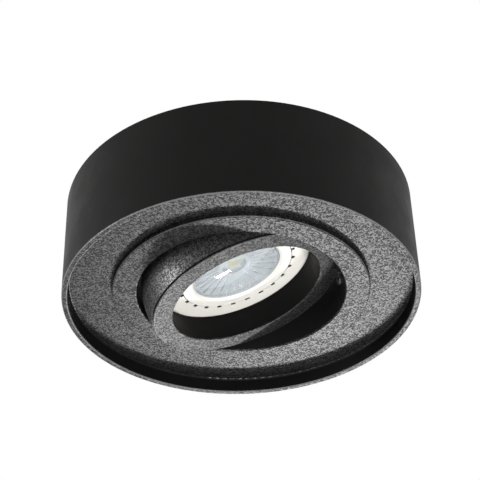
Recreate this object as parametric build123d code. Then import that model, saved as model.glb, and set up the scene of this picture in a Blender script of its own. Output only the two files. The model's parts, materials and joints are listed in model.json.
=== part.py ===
"""Surface mounted ceiling spotlight: a shallow black can with a tilting lamp ring in a swivelling trim.

Frame, in millimetres: the origin is the centre of the ceiling plane, +Z points up into the ceiling,
and the can hangs in -Z. The tilt axis lies along Y. The lamp head is built upright about the tilt
axis, with its face looking down, and is then turned to the tilt that it is stored at.
"""

import os
from math import asin, cos, pi, radians, sin, sqrt, tan

from build123d import *

# ------------------------------------------------------------------ can
CAN_RADIUS = 55.0  # outside of the can's wall
CAN_HEIGHT = 34.0  # ceiling to rim
CAN_WALL = 1.75
WEB_RECESS = 5.0  # rim to the underside of the recessed web
WEB_THICKNESS = 1.5
RIM_ROUND = 0.35
WEB_CORNER_ROUND = 0.6

# ------------------------------------------------------------------ lamp ring, about the tilt axis
LAMP_RADIUS = 25.0
RING_SHOULDER = 0.7  # overlap of the ring's bore in front of the lamp's edge
RING_FACE_WIDTH = 6.2
PIVOT_TO_FACE = 5.6  # tilt axis to the ring's flat face
RING_DEPTH = 14.6  # face to back edge
LAMP_RECESS = 8.6  # face to the lamp's front
LIP_THICKNESS = 0.5
LIP_ROUND = 0.25
SHADOW_GROOVE_WIDTH = 0.6
SHADOW_GROOVE_DEPTH = 0.7
RING_SKIN = 1.3  # wall of the hollow casting at its back edge
RING_SLEEVE = 1.45  # wall round the lamp seat
POCKET_FLOOR = 2.6  # casting thickness behind the face
PIVOT_BOSS_WIDTH = 11.0
PIVOT_PAD_CUT = 0.5  # how far the flat pads for the washers lie inside the ball
PIVOT_PAD_LENGTH = 24.0
PIVOT_PAD_BEHIND_LIP = 0.2
REST_TILT = 19.7  # degrees, the tilt in the photograph
TILT_LIMIT = 25.0  # degrees each way

# ------------------------------------------------------------------ trim
TRIM_FLANGE = 6.05  # flange beyond the neck
TRIM_THICKNESS = 1.8
TRIM_EDGE_ROUND = 0.45
RING_GAP = 1.15  # lamp ring's ball side to the trim's opening
NECK_WALL = 1.6
NECK_HEIGHT = 15.0  # trim face to the neck's top edge
WEB_HOLE_CLEARANCE = 1.3  # neck to the web's hole, room for the springs' legs

# ------------------------------------------------------------------ pivots
PIVOT_THREAD_RADIUS = 2.0
PIVOT_DOG_RADIUS = 1.5
PIVOT_DOG_DEPTH = 3.2  # into the lamp ring's boss
PIVOT_RUNNING_FIT = 0.05
PIVOT_SUNK = 0.15  # screw's end below the neck's outer wall
WASHER_RADIUS = 4.0
WASHER_SIDE_GAP = 0.05
WASHER_NECK_GAP = 0.15
DRIVER_SLOT = 0.6
DRIVER_SLOT_DEPTH = 0.7
SCREW_HOLE_EXTRA = 0.4  # blind holes beyond their screws
THREAD_GAP = 0.05

# ------------------------------------------------------------------ leaf springs
SPRING_WIDTH = 9.0
SPRING_THICKNESS = 0.6
SPRING_FOOT_GAP = 0.15
SPRING_REACH = 7.7  # neck to where the foot meets the web
SPRING_FOOT_LENGTH = 2.6
SPRING_TOE = 1.4
SPRING_LEG_ABOVE_WEB = 1.6
SPRING_LEG_TOP_BELOW_NECK = 1.0
SPRING_CREST_OUT = 3.6
SPRING_CREST_RISE = 0.9
SPRING_BEND = 1.3
RIVET_RADIUS = 1.2
RIVET_HEAD_RADIUS = 2.1
RIVET_HEAD = 0.55
RIVET_BORE_GAP = 0.14  # inner head to the crest of the neck's curved bore
RIVET_BELOW_NECK = 5.0

# ------------------------------------------------------------------ mounting plate
PLATE_TO_WALL = 5.55
PLATE_THICKNESS = 1.5
PLATE_BAND = 16.7  # plate's edge to its opening
TAB_SET_BACK = 0.7  # bent tabs' outer face inside the plate's edge
TAB_WIDTH = 12.0
TAB_RELIEF = 1.0
SCREW_TAB_LENGTH = 10.4  # ceiling plane to the tab's end
SCREW_TAB_ANGLES = (30.0, 150.0)
HOOK_ANGLE = 270.0
HOOK_TOE_LENGTH = 4.0
HOOK_TOE_TOP = 9.0  # ceiling plane to the toe's upper face
BEND_OUTER_ROUND = 1.4
FIXING_FROM_EDGE = 8.2  # plate's edge to the ceiling screws
FIXING_HOLE_RADIUS = 2.3
FIXING_SLOT_LENGTH = 10.0
EMBOSS_FROM_OPENING = 3.2
EMBOSS_WIDTH = 1.6
EMBOSS_DEPTH = 0.5

# ------------------------------------------------------------------ can's inner bosses, lug and set screws
SET_SCREW_RADIUS = 2.0
SET_SCREW_DEPTH = 6.4  # ceiling plane to the screw's axis
SET_SCREW_SUNK = 0.4
SET_SCREW_TIP_RADIUS = 1.5
SET_SCREW_TIP = 1.3
TAB_HOLE_GAP = 0.2
BOSS_RADIUS = 4.0
BOSS_TO_TAB_GAP = 1.3
LUG_WIDTH = 14.0
LUG_HEIGHT = 3.0
LUG_TO_TAB_GAP = 1.2
SOCKET_FLATS = 2.0
SOCKET_DEPTH = 2.2

# ------------------------------------------------------------------ lamp module, about the tilt axis
LAMP_SEAT_GAP = 0.15
MODULE_FIT = 0.1  # between the module's moulded pieces
BEZEL_DEPTH = 4.2
BEZEL_WALL = 1.2
BEZEL_FRONT_WALL = 1.4
BEZEL_ROUND = 1.6
BEZEL_COLLAR = 1.1
BEZEL_COLLAR_DROP = 1.0  # collar's end before the bezel's back
BEZEL_BAND = 6.9  # lamp's edge to the lens holder
HOLDER_FACE_WIDTH = 2.9
HOLDER_LUG_WIDTH = 2.4
HOLDER_LUG_THICKNESS = 0.9
HOLDER_LUG_COUNT = 3
HOLDER_LUG_ROOT = 0.2  # lugs sunk into the face behind the vents
HOLDER_BACK_SLOPE = 0.2
SEAM = 0.25
VENT_COUNT = 24
VENT_WIDTH = 1.6
VENT_REACH = 1.0
FUNNEL = 0.7  # how much the holder's mouth narrows down to the lens
LENS_RECESS = 0.8
LENS_LEDGE = 0.9  # flange caught behind the funnel
LENS_FLANGE = 1.2
LENS_DOME = 0.7
LENS_DOME_MARGIN = 0.4
LENS_TAIL_RADIUS = 5.2
LENS_DEPTH = 5.3  # flange's front to tail
LENS_POCKET_RADIUS = 3.9
LENS_POCKET_DEPTH = 1.8
LENS_FIT = 0.2
COLLAR_WALL = 1.1
BOARD_MARGIN = 1.4  # board beyond the lens's flange
BOARD_THICKNESS = 1.2
BOARD_BEHIND_LENS = 0.6
LED_SIDE = 5.0
LED_HEIGHT = 0.5
LED_LIGHT_RADIUS = 2.1
PAD_THICKNESS = 0.3
PAD_MARGIN = 1.0
SINK_FIT = 0.1
SINK_WALL = 1.2
SINK_FLOOR = 1.5
PIN_RADIUS = 0.4
PIN_PITCH = 2.54
PIN_FROM_AXIS = 9.5
PIN_HOLE_RADIUS = 2.4
SHELL_TAPER = 5.3  # how much the rear shell narrows to its back
SHELL_WALL = 1.4
SHELL_ROUND = 1.2
SPIGOT_LENGTH = 2.4
SPIGOT_GAP = 0.1
MODULE_DEPTH = 15.0  # lamp's front to the rear shell's back
SHELL_VENTS = 18
SHELL_VENT_WIDTH = 1.3
SHELL_VENT_LENGTH = 5.6
MODULE_SCREW_INSET = 3.8  # screw circle inside the LED board's edge
MODULE_SCREW_COUNT = 3
MODULE_SCREW_TURN = 30.0  # degrees, keeps the screws off the lead's side
MODULE_SCREW_RADIUS = 1.0
MODULE_SCREW_HEAD = 1.9
MODULE_SCREW_HEAD_HEIGHT = 1.0
MODULE_SCREW_BITE = 3.0
CROSS_LENGTH = 2.2
CROSS_WIDTH = 0.44
POST_RADIUS = 2.2
POST_GAP = 0.35
DRIVER_BOARD_INSET = 1.6
DRIVER_BOARD_THICKNESS = 0.8
DRIVER_BOARD_GAP = 0.4
DRIVER_PART_GAP = 0.5  # parts on the board to the rear shell and to the posts
CAPACITOR_WIDTH = 4.4
CAPACITOR_LENGTH = 7.2
CAPACITOR_START = -1.0  # its lower end beside the lamp's axis
CAPACITOR_ROUND = 0.3
CONTROLLER_WIDTH = 4.0
CONTROLLER_LENGTH = 5.0
CONTROLLER_END = 1.0  # its upper end beside the lamp's axis
CONTROLLER_HEIGHT = 0.95
RECTIFIER_WIDTH = 4.8
RECTIFIER_LENGTH = 4.0
RECTIFIER_START = 1.6
RECTIFIER_HEIGHT = 1.1
RECTIFIER_TO_CAPACITOR = 1.9
CHOKE_WIDTH = 6.4
CHOKE_END = -2.2
CHOKE_ROUND = 1.4
CHOKE_TO_CONTROLLER = 1.5
CHOKE_TO_POST = 2.4
SNAP_WIRE_RADIUS = 0.6
SNAP_GAP_ANGLE = 26.0
SNAP_GAP_PLACE = 200.0
SNAP_IN_GROOVE = 0.12  # wire's centre line beyond the lamp seat
SNAP_CLEARANCE = 0.12

# ------------------------------------------------------------------ lead
LEAD_RADIUS = 1.5
LEAD_FIT = 0.05
LEAD_IN_GLAND = 3.1  # gland's outer end to the sheath's end
LEAD_BELOW_LID = 0.6  # how far the sheath enters the terminal box
GLAND_WALL = 1.3
GLAND_COLLAR = 0.5  # collar beyond the gland's barrel
GLAND_COLLAR_THICKNESS = 0.7
GLAND_BOSS = 1.94  # how far the gland's seat stands off the rear shell
GLAND_REACH = 1.3  # gland beyond its seat
GLAND_HEIGHT = 14.0  # behind the tilt axis
CORE_RADIUS = 0.65
TAIL_RADIUS = 0.5

# ------------------------------------------------------------------ terminal box, on the neck's +Y side
BOX_LENGTH = 30.0
BOX_DEPTH = 14.0
BOX_WALL = 1.2
BOX_CORNER = 1.0
BOX_NECK_GAP = 0.75
BOX_BOTTOM_GAP = 0.9  # above the web
COVER_THICKNESS = 1.4
COVER_ROUND = 0.5
COVER_FIT = 0.1
COVER_SKIRT = 1.4
COVER_SKIRT_WALL = 1.0
HOOK_WIDTH = 10.0
HOOK_ARM = 1.4
HOOK_LEG = 1.2
HOOK_DROP = 1.4
HOOK_GAP = 0.15
HOOK_BORE_GAP = 0.6
INLET_RADIUS = 3.2
INLET_ABOVE_FLOOR = 4.4
BLOCK_LENGTH = 12.0
BLOCK_WIDTH = 10.4
BLOCK_HEIGHT = 8.0
BLOCK_SEAT_GAP = 0.05
BLOCK_ROUND = 0.6
TERMINAL_BORE_HEIGHT = 3.4
CLAMP_RADIUS = 2.1
CLAMP_SPACING = 5.2
CLAMP_BORE = 1.25
CLAMP_INSET = 0.8
CLAMP_FIT = 0.02
TERMINAL_SCREW_RADIUS = 1.2
TERMINAL_SCREW_PITCH = 6.0
TERMINAL_SCREW_TIP_GAP = 0.1
TERMINAL_WELL_GAP = 0.5
TERMINAL_SCREW_SUNK = 0.5
BAR_WIDTH = 3.2
BAR_THICKNESS = 1.6
BAR_END_ROUND = 1.1
BAR_SCREW_FIT = 0.1
BAR_ABOVE_INLET = 1.9
BAR_SCREW_RADIUS = 0.9
BAR_SCREW_BITE = 2.6
BAR_HEAD = 0.6  # screw head beyond its thread
BAR_HEAD_HEIGHT = 0.9
BAR_POST_RADIUS = 1.6
BAR_WALL_GAP = 0.2
PIECE_GAP = 0.02  # between seated faces
SLOT_WIDTH = 0.5
SLOT_DEPTH = 0.5
LEAD_ENTRY_FROM_BLOCK = 4.0

# ------------------------------------------------------------------ places that follow from the sizes
RIM_Z = -CAN_HEIGHT
WEB_LOWER_Z = RIM_Z + WEB_RECESS
WEB_UPPER_Z = WEB_LOWER_Z + WEB_THICKNESS
CAN_BORE = CAN_RADIUS - CAN_WALL
PLATE_RADIUS = CAN_BORE - PLATE_TO_WALL
PLATE_OPENING_RADIUS = PLATE_RADIUS - PLATE_BAND
FIXING_SPACING = 2 * (PLATE_RADIUS - FIXING_FROM_EDGE)
TAB_FACE = PLATE_RADIUS - TAB_SET_BACK
EMBOSS_RADIUS = PLATE_OPENING_RADIUS + EMBOSS_FROM_OPENING
TRIM_FACE_Z = WEB_LOWER_Z - TRIM_THICKNESS
PIVOT_Z = TRIM_FACE_Z + PIVOT_TO_FACE
NECK_TOP_Z = TRIM_FACE_Z + NECK_HEIGHT
RING_BORE_RADIUS = LAMP_RADIUS - RING_SHOULDER
RING_FACE_RADIUS = RING_BORE_RADIUS + RING_FACE_WIDTH
BALL_RADIUS = sqrt(RING_FACE_RADIUS**2 + PIVOT_TO_FACE**2)
TRIM_OPENING = BALL_RADIUS + RING_GAP
NECK_RADIUS = TRIM_OPENING + NECK_WALL
TRIM_RADIUS = NECK_RADIUS + TRIM_FLANGE
WEB_HOLE = NECK_RADIUS + WEB_HOLE_CLEARANCE
SPRING_FOOT_RADIUS = NECK_RADIUS + SPRING_REACH
PAD_PLANE = BALL_RADIUS - PIVOT_PAD_CUT
HOLDER_RADIUS = LAMP_RADIUS - BEZEL_BAND
HOLDER_MOUTH_RADIUS = HOLDER_RADIUS - HOLDER_FACE_WIDTH
LENS_APERTURE_RADIUS = HOLDER_MOUTH_RADIUS - FUNNEL
LENS_FLANGE_RADIUS = LENS_APERTURE_RADIUS + LENS_LEDGE
LENS_BODY_RADIUS = LENS_APERTURE_RADIUS - LENS_LEDGE
COLLAR_INNER = LENS_FLANGE_RADIUS + LENS_FIT
COLLAR_OUTER = COLLAR_INNER + COLLAR_WALL
BOARD_RADIUS = LENS_FLANGE_RADIUS + BOARD_MARGIN
PAD_RADIUS = BOARD_RADIUS - PAD_MARGIN
SINK_BORE = BOARD_RADIUS + SINK_FIT
SINK_RADIUS = SINK_BORE + SINK_WALL
MODULE_SCREW_CIRCLE = BOARD_RADIUS - MODULE_SCREW_INSET
DRIVER_BOARD_RADIUS = BOARD_RADIUS - DRIVER_BOARD_INSET
SHELL_FRONT_RADIUS = LAMP_RADIUS - BEZEL_WALL
SHELL_REAR_RADIUS = SHELL_FRONT_RADIUS - SHELL_TAPER
GLAND_RADIUS = LEAD_RADIUS + LEAD_FIT + GLAND_WALL
LAMP_FRONT = LAMP_RECESS - PIVOT_TO_FACE
RING_BACK = RING_DEPTH - PIVOT_TO_FACE
SEAT_RADIUS = LAMP_RADIUS + LAMP_SEAT_GAP
BEZEL_BACK = LAMP_FRONT + BEZEL_DEPTH
LENS_FRONT = LAMP_FRONT + LENS_RECESS
LENS_BACK = LENS_FRONT + LENS_DEPTH
BOARD_FRONT = LENS_BACK + BOARD_BEHIND_LENS
BOARD_BACK = BOARD_FRONT + BOARD_THICKNESS
SINK_FLOOR_FRONT = BOARD_BACK + PAD_THICKNESS
SINK_FLOOR_BACK = SINK_FLOOR_FRONT + SINK_FLOOR
SHELL_BACK = LAMP_FRONT + MODULE_DEPTH
SHELL_INNER_BACK = SHELL_BACK - SHELL_WALL
SHELL_SLOPE = SHELL_TAPER / (SHELL_BACK - BEZEL_BACK)
GLAND_SEAT = SHELL_FRONT_RADIUS - SHELL_SLOPE * (GLAND_HEIGHT - BEZEL_BACK) + GLAND_BOSS
GLAND_END = GLAND_SEAT + GLAND_REACH
DRIVER_FRONT = SINK_FLOOR_BACK + DRIVER_BOARD_GAP
DRIVER_BACK = DRIVER_FRONT + DRIVER_BOARD_THICKNESS
BOX_INNER_Y = NECK_RADIUS + BOX_NECK_GAP
BOX_OUTER_Y = BOX_INNER_Y + BOX_DEPTH
BOX_MIDDLE_Y = (BOX_INNER_Y + BOX_OUTER_Y) / 2
BOX_BOTTOM_Z = WEB_UPPER_Z + BOX_BOTTOM_GAP
BOX_FLOOR_Z = BOX_BOTTOM_Z + BOX_WALL
HOOK_ARM_Z = NECK_TOP_Z + HOOK_GAP
COVER_BOTTOM_Z = HOOK_ARM_Z + HOOK_ARM
COVER_TOP_Z = COVER_BOTTOM_Z + COVER_THICKNESS
INLET_Z = BOX_FLOOR_Z + INLET_ABOVE_FLOOR
BLOCK_BOTTOM_Z = BOX_FLOOR_Z + BLOCK_SEAT_GAP
BLOCK_TOP_Z = BLOCK_BOTTOM_Z + BLOCK_HEIGHT
TERMINAL_Z = BLOCK_BOTTOM_Z + TERMINAL_BORE_HEIGHT
BAR_BOTTOM_Z = INLET_Z + BAR_ABOVE_INLET
BAR_TOP_Z = BAR_BOTTOM_Z + BAR_THICKNESS
BAR_X = -BOX_LENGTH / 2 + BOX_WALL + BAR_WALL_GAP + BAR_POST_RADIUS
BAR_SCREW_OFFSET = BOX_DEPTH / 2 - BOX_WALL - BAR_POST_RADIUS
BAR_HEAD_RADIUS = BAR_SCREW_RADIUS + BAR_HEAD
LEAD_ENTRY_X = BLOCK_LENGTH / 2 + LEAD_ENTRY_FROM_BLOCK
LEAD_ENTRY_Y = BOX_MIDDLE_Y


# ------------------------------------------------------------------ helpers
def turned(*points):
    """A solid of revolution about Z from its half section, given as (radius, height) points."""
    return revolve(Plane.XZ * make_face(Polyline(*points, close=True)), Axis.Z)


def disc(radius, low, high, bore=0.0):
    """A flat round plate between two heights, with an optional bore."""
    height = high - low
    plate = Pos(0, 0, (low + high) / 2) * Cylinder(radius, height)
    if bore:
        plate -= Pos(0, 0, (low + high) / 2) * Cylinder(bore, height * 2)
    return plate


def block(low, high):
    """A box between two opposite corners."""
    size = [b - a for a, b in zip(low, high)]
    middle = [(a + b) / 2 for a, b in zip(low, high)]
    return Pos(*middle) * Box(*size)


def radial_rod(radius, inner, outer, height, angle):
    """A round rod that points away from the Z axis, from one radius to another."""
    rod = Pos((inner + outer) / 2, 0, height) * Rot(0, 90, 0) * Cylinder(radius, outer - inner)
    return Rot(0, 0, angle) * rod


def upright_rod(radius, x, y, low, high):
    """A round rod along Z at a place in plan."""
    return Pos(x, y, (low + high) / 2) * Cylinder(radius, high - low)


def circles(part, radius, height, near=0.02):
    """The part's circular edges of one radius at one height."""
    found = part.edges().filter_by(GeomType.CIRCLE)
    return found.filter_by(lambda e: abs(e.radius - radius) < near and abs(e.arc_center.Z - height) < near)


def ball_at(height):
    """Radius of the lamp ring's ball side at a height from the tilt axis."""
    return sqrt(BALL_RADIUS**2 - height**2)


def shell_radius(height):
    """Outer radius of the module's rear shell at a height from the tilt axis."""
    return SHELL_FRONT_RADIUS - SHELL_SLOPE * (height - BEZEL_BACK)


def tilted(part):
    """Turns an upright lamp head piece to its stored tilt and lifts it to the tilt axis."""
    return Pos(0, 0, PIVOT_Z) * Rot(0, -REST_TILT, 0) * part


def tilted_point(x, y, z):
    """Where a point of the upright lamp head lies at its stored tilt."""
    turn = radians(-REST_TILT)
    return (x * cos(turn) + z * sin(turn), y, PIVOT_Z - x * sin(turn) + z * cos(turn))


def bend_radii(points):
    """Largest sensible bend at each inner point of a route: 0.45 of the shorter run by the half turn."""
    radii = []
    for before, here, after in zip(points, points[1:], points[2:]):
        first = Vector(*here) - Vector(*before)
        second = Vector(*after) - Vector(*here)
        half_turn = radians(first.get_angle(second)) / 2
        radii.append(0.45 * min(first.length, second.length) / tan(half_turn))
    return radii


def tube(name, points, radius):
    """A round lead along straight runs joined by tangent arcs. Prints its radii and its volume's error."""
    radii = bend_radii(points)
    path = FilletPolyline(*points, radius=radii)
    start = Plane(origin=path @ 0, z_dir=path % 0)
    solid = sweep(start * Circle(radius), path)
    expected = pi * radius**2 * path.length
    bends = ", ".join(f"{r:.1f}" for r in radii)
    print(f"{name}: length {path.length:.1f}, bends {bends}, volume ratio {solid.volume / expected:.4f}")
    return solid


# ------------------------------------------------------------------ can and its fixing
def make_can():
    """The can: wall, recessed web with its hole, two tapped bosses and the lug that hangs on the hook."""
    can = turned(
        (CAN_BORE, 0), (CAN_RADIUS, 0), (CAN_RADIUS, RIM_Z), (CAN_BORE, RIM_Z), (CAN_BORE, WEB_LOWER_Z),
        (WEB_HOLE, WEB_LOWER_Z), (WEB_HOLE, WEB_UPPER_Z), (CAN_BORE, WEB_UPPER_Z),
    )
    can = fillet(circles(can, CAN_RADIUS, RIM_Z) + circles(can, CAN_BORE, RIM_Z), RIM_ROUND)
    corners = circles(can, CAN_BORE, WEB_LOWER_Z) + circles(can, CAN_BORE, WEB_UPPER_Z)
    can = fillet(corners, WEB_CORNER_ROUND)
    into_wall = CAN_BORE + CAN_WALL / 3
    boss_start = TAB_FACE + BOSS_TO_TAB_GAP
    for angle in SCREW_TAB_ANGLES:
        can += radial_rod(BOSS_RADIUS, boss_start, into_wall, -SET_SCREW_DEPTH, angle)
    lug = block(
        (TAB_FACE + LUG_TO_TAB_GAP, -LUG_WIDTH / 2, -HOOK_TOE_TOP),
        (into_wall, LUG_WIDTH / 2, -HOOK_TOE_TOP + LUG_HEIGHT),
    )
    can += Rot(0, 0, HOOK_ANGLE) * lug
    bore = SET_SCREW_RADIUS + THREAD_GAP
    for angle in SCREW_TAB_ANGLES:
        can -= radial_rod(bore, boss_start - 1, CAN_RADIUS + 1, -SET_SCREW_DEPTH, angle)
    return can


def make_mounting_plate():
    """The steel ceiling plate: ring, two screw slots, two screw holes, three tabs bent down at its edge."""
    plate = disc(PLATE_RADIUS, -PLATE_THICKNESS, 0, PLATE_OPENING_RADIUS)
    groove = disc(EMBOSS_RADIUS + EMBOSS_WIDTH / 2, -PLATE_THICKNESS, EMBOSS_DEPTH - PLATE_THICKNESS,
                  EMBOSS_RADIUS - EMBOSS_WIDTH / 2)
    plate -= groove
    inner_face = TAB_FACE - PLATE_THICKNESS
    for angle in SCREW_TAB_ANGLES + (HOOK_ANGLE,):
        relief = block((TAB_FACE, -TAB_WIDTH / 2 - TAB_RELIEF, -PLATE_THICKNESS - 1),
                       (PLATE_RADIUS + 1, TAB_WIDTH / 2 + TAB_RELIEF, 1))
        for side in (-1, 1):
            middle = side * (TAB_WIDTH + TAB_RELIEF) / 2
            relief += block((inner_face - TAB_RELIEF, middle - TAB_RELIEF / 2, -PLATE_THICKNESS - 1),
                            (PLATE_RADIUS + 1, middle + TAB_RELIEF / 2, 1))
        plate -= Rot(0, 0, angle) * relief
    for angle in SCREW_TAB_ANGLES:
        tab = block((inner_face, -TAB_WIDTH / 2, -SCREW_TAB_LENGTH), (TAB_FACE, TAB_WIDTH / 2, 0))
        plate += Rot(0, 0, angle) * tab
    toe_bottom = -HOOK_TOE_TOP - PLATE_THICKNESS
    hook = block((inner_face, -TAB_WIDTH / 2, toe_bottom), (TAB_FACE, TAB_WIDTH / 2, 0))
    hook += block((inner_face, -TAB_WIDTH / 2, toe_bottom),
                  (TAB_FACE + HOOK_TOE_LENGTH, TAB_WIDTH / 2, -HOOK_TOE_TOP))
    plate += Rot(0, 0, HOOK_ANGLE) * hook
    bends = plate.edges().filter_by(GeomType.LINE).filter_by(
        lambda e: abs(e.length - TAB_WIDTH) < 0.01 and abs(e.center().Z) < 0.01)
    plate = fillet(bends, BEND_OUTER_ROUND)
    tip_hole = SET_SCREW_TIP_RADIUS + TAB_HOLE_GAP
    for angle in SCREW_TAB_ANGLES:
        plate -= radial_rod(tip_hole, inner_face - 1, TAB_FACE + 1, -SET_SCREW_DEPTH, angle)
    slot = extrude(SlotOverall(FIXING_SLOT_LENGTH, FIXING_HOLE_RADIUS * 2), PLATE_THICKNESS * 2, both=True)
    for side in (-1, 1):
        plate -= Pos(side * FIXING_SPACING / 2, 0, 0) * slot
        plate -= upright_rod(FIXING_HOLE_RADIUS, 0, side * FIXING_SPACING / 2, -PLATE_THICKNESS - 1, 1)
    return plate


def make_set_screws():
    """The two set screws: threaded body, tip in the tab's hole, hexagon socket at the outside."""
    screws = []
    outer = CAN_RADIUS - SET_SCREW_SUNK
    shoulder = TAB_FACE + TAB_HOLE_GAP
    for angle in SCREW_TAB_ANGLES:
        screw = radial_rod(SET_SCREW_RADIUS, shoulder, outer, -SET_SCREW_DEPTH, angle)
        tip_end = shoulder - SET_SCREW_TIP
        screw += radial_rod(SET_SCREW_TIP_RADIUS, tip_end, shoulder + 1, -SET_SCREW_DEPTH, angle)
        hexagon = extrude(RegularPolygon(SOCKET_FLATS / 2, 6, major_radius=False), SOCKET_DEPTH + 1)
        socket = Pos(outer - SOCKET_DEPTH, 0, -SET_SCREW_DEPTH) * Rot(0, 90, 0) * hexagon
        screws.append(screw - Rot(0, 0, angle) * socket)
    return screws


# ------------------------------------------------------------------ trim
def make_trim_ring():
    """The trim: flange against the web, neck up through it, threaded pivot holes and rivet holes."""
    trim = turned(
        (TRIM_OPENING, TRIM_FACE_Z), (TRIM_RADIUS, TRIM_FACE_Z), (TRIM_RADIUS, WEB_LOWER_Z),
        (NECK_RADIUS, WEB_LOWER_Z), (NECK_RADIUS, NECK_TOP_Z), (TRIM_OPENING, NECK_TOP_Z),
    )
    edges = circles(trim, TRIM_RADIUS, TRIM_FACE_Z) + circles(trim, TRIM_OPENING, TRIM_FACE_Z)
    trim = fillet(edges, TRIM_EDGE_ROUND)
    start = TRIM_OPENING - 2
    end = NECK_RADIUS + 1
    for angle in (90, 270):
        trim -= radial_rod(PIVOT_THREAD_RADIUS + THREAD_GAP, start, end, PIVOT_Z, angle)
    for angle in (0, 180):
        trim -= radial_rod(RIVET_RADIUS, start, end, NECK_TOP_Z - RIVET_BELOW_NECK, angle)
    return trim


def make_pivot_screws():
    """The two pivot screws: thread in the neck, plain dog point in the lamp ring, driver slot outside."""
    screws = []
    outer = NECK_RADIUS - PIVOT_SUNK
    inner = PAD_PLANE - PIVOT_DOG_DEPTH
    for angle in (90, 270):
        screw = radial_rod(PIVOT_THREAD_RADIUS, TRIM_OPENING, outer, PIVOT_Z, angle)
        screw += radial_rod(PIVOT_DOG_RADIUS, inner, (TRIM_OPENING + outer) / 2, PIVOT_Z, angle)
        slot = block(
            (outer - DRIVER_SLOT_DEPTH, -PIVOT_THREAD_RADIUS - 1, PIVOT_Z - DRIVER_SLOT / 2),
            (outer + 1, PIVOT_THREAD_RADIUS + 1, PIVOT_Z + DRIVER_SLOT / 2),
        )
        screws.append(screw - Rot(0, 0, angle) * slot)
    return screws


def make_friction_washers():
    """The two nylon washers that fill the gap at the pivots and hold the tilt by friction."""
    start = PAD_PLANE + WASHER_SIDE_GAP
    end = sqrt(TRIM_OPENING**2 - WASHER_RADIUS**2) - WASHER_NECK_GAP
    bore = PIVOT_DOG_RADIUS + PIVOT_RUNNING_FIT
    washers = []
    for angle in (90, 270):
        washer = radial_rod(WASHER_RADIUS, start, end, PIVOT_Z, angle)
        washers.append(washer - radial_rod(bore, start - 1, end + 1, PIVOT_Z, angle))
    return washers


def make_leaf_springs():
    """The two bent strips that pull the trim up against the web."""
    leg = NECK_RADIUS + SPRING_THICKNESS / 2
    foot_z = WEB_UPPER_Z + SPRING_FOOT_GAP + SPRING_THICKNESS / 2
    leg_top = NECK_TOP_Z - SPRING_LEG_TOP_BELOW_NECK
    points = [
        (leg, 0, WEB_UPPER_Z + SPRING_LEG_ABOVE_WEB),
        (leg, 0, leg_top),
        (leg + SPRING_CREST_OUT, 0, leg_top + SPRING_CREST_RISE),
        (SPRING_FOOT_RADIUS, 0, foot_z),
        (SPRING_FOOT_RADIUS + SPRING_FOOT_LENGTH, 0, foot_z),
        (SPRING_FOOT_RADIUS + SPRING_FOOT_LENGTH + SPRING_TOE, 0, foot_z + SPRING_TOE),
    ]
    path = FilletPolyline(*points, radius=(SPRING_BEND, SPRING_BEND, SPRING_BEND, SPRING_BEND / 2))
    start = Plane(origin=points[0], x_dir=(1, 0, 0), z_dir=(0, 0, 1))
    spring = sweep(start * Rectangle(SPRING_THICKNESS, SPRING_WIDTH), path)
    hole = radial_rod(RIVET_RADIUS, NECK_RADIUS - 1, leg + 2, NECK_TOP_Z - RIVET_BELOW_NECK, 0)
    spring -= hole
    return [spring, Rot(0, 0, 180) * spring]


def make_spring_rivets():
    """The rivets that hold the springs to the neck, a low head at each end."""
    height = NECK_TOP_Z - RIVET_BELOW_NECK
    outer = NECK_RADIUS + SPRING_THICKNESS
    inner = TRIM_OPENING - RIVET_BORE_GAP
    rivets = []
    for angle in (0, 180):
        rivet = radial_rod(RIVET_RADIUS, inner - RIVET_HEAD / 2, outer + RIVET_HEAD / 2, height, angle)
        rivet += radial_rod(RIVET_HEAD_RADIUS, outer, outer + RIVET_HEAD, height, angle)
        rivet += radial_rod(RIVET_HEAD_RADIUS, inner - RIVET_HEAD, inner, height, angle)
        rivets.append(rivet)
    return rivets


# ------------------------------------------------------------------ terminal box on the neck
def make_terminal_box_base():
    """The open box that hooks over the neck's top edge, with the cable inlet in its -X end."""
    half = BOX_LENGTH / 2
    base = block((-half, BOX_INNER_Y, BOX_BOTTOM_Z), (half, BOX_OUTER_Y, COVER_BOTTOM_Z))
    base = fillet(base.edges().filter_by(Axis.Z), BOX_CORNER)
    base -= block(
        (-half + BOX_WALL, BOX_INNER_Y + BOX_WALL, BOX_FLOOR_Z),
        (half - BOX_WALL, BOX_OUTER_Y - BOX_WALL, COVER_BOTTOM_Z + 1),
    )
    leg_out = TRIM_OPENING - HOOK_BORE_GAP
    leg_in = leg_out - HOOK_LEG
    side = HOOK_WIDTH / 2
    base += block((-side, leg_in, HOOK_ARM_Z), (side, BOX_INNER_Y + BOX_WALL, COVER_BOTTOM_Z))
    base += block((-side, leg_in, NECK_TOP_Z - HOOK_DROP), (side, leg_out, COVER_BOTTOM_Z))
    base -= Pos(-half, BOX_MIDDLE_Y, INLET_Z) * Rot(0, 90, 0) * Cylinder(INLET_RADIUS, BOX_WALL * 3)
    for y in bar_screw_places():
        base += upright_rod(BAR_POST_RADIUS, BAR_X, y, BOX_FLOOR_Z - BOX_WALL / 2, BAR_BOTTOM_Z)
        bottom = BAR_BOTTOM_Z - BAR_SCREW_BITE - SCREW_HOLE_EXTRA
        base -= upright_rod(BAR_SCREW_RADIUS, BAR_X, y, bottom, BAR_BOTTOM_Z + 1)
    return base


def bar_screw_places():
    """The Y of each of the cord clamp's two screws."""
    return (BOX_MIDDLE_Y - BAR_SCREW_OFFSET, BOX_MIDDLE_Y + BAR_SCREW_OFFSET)


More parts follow.
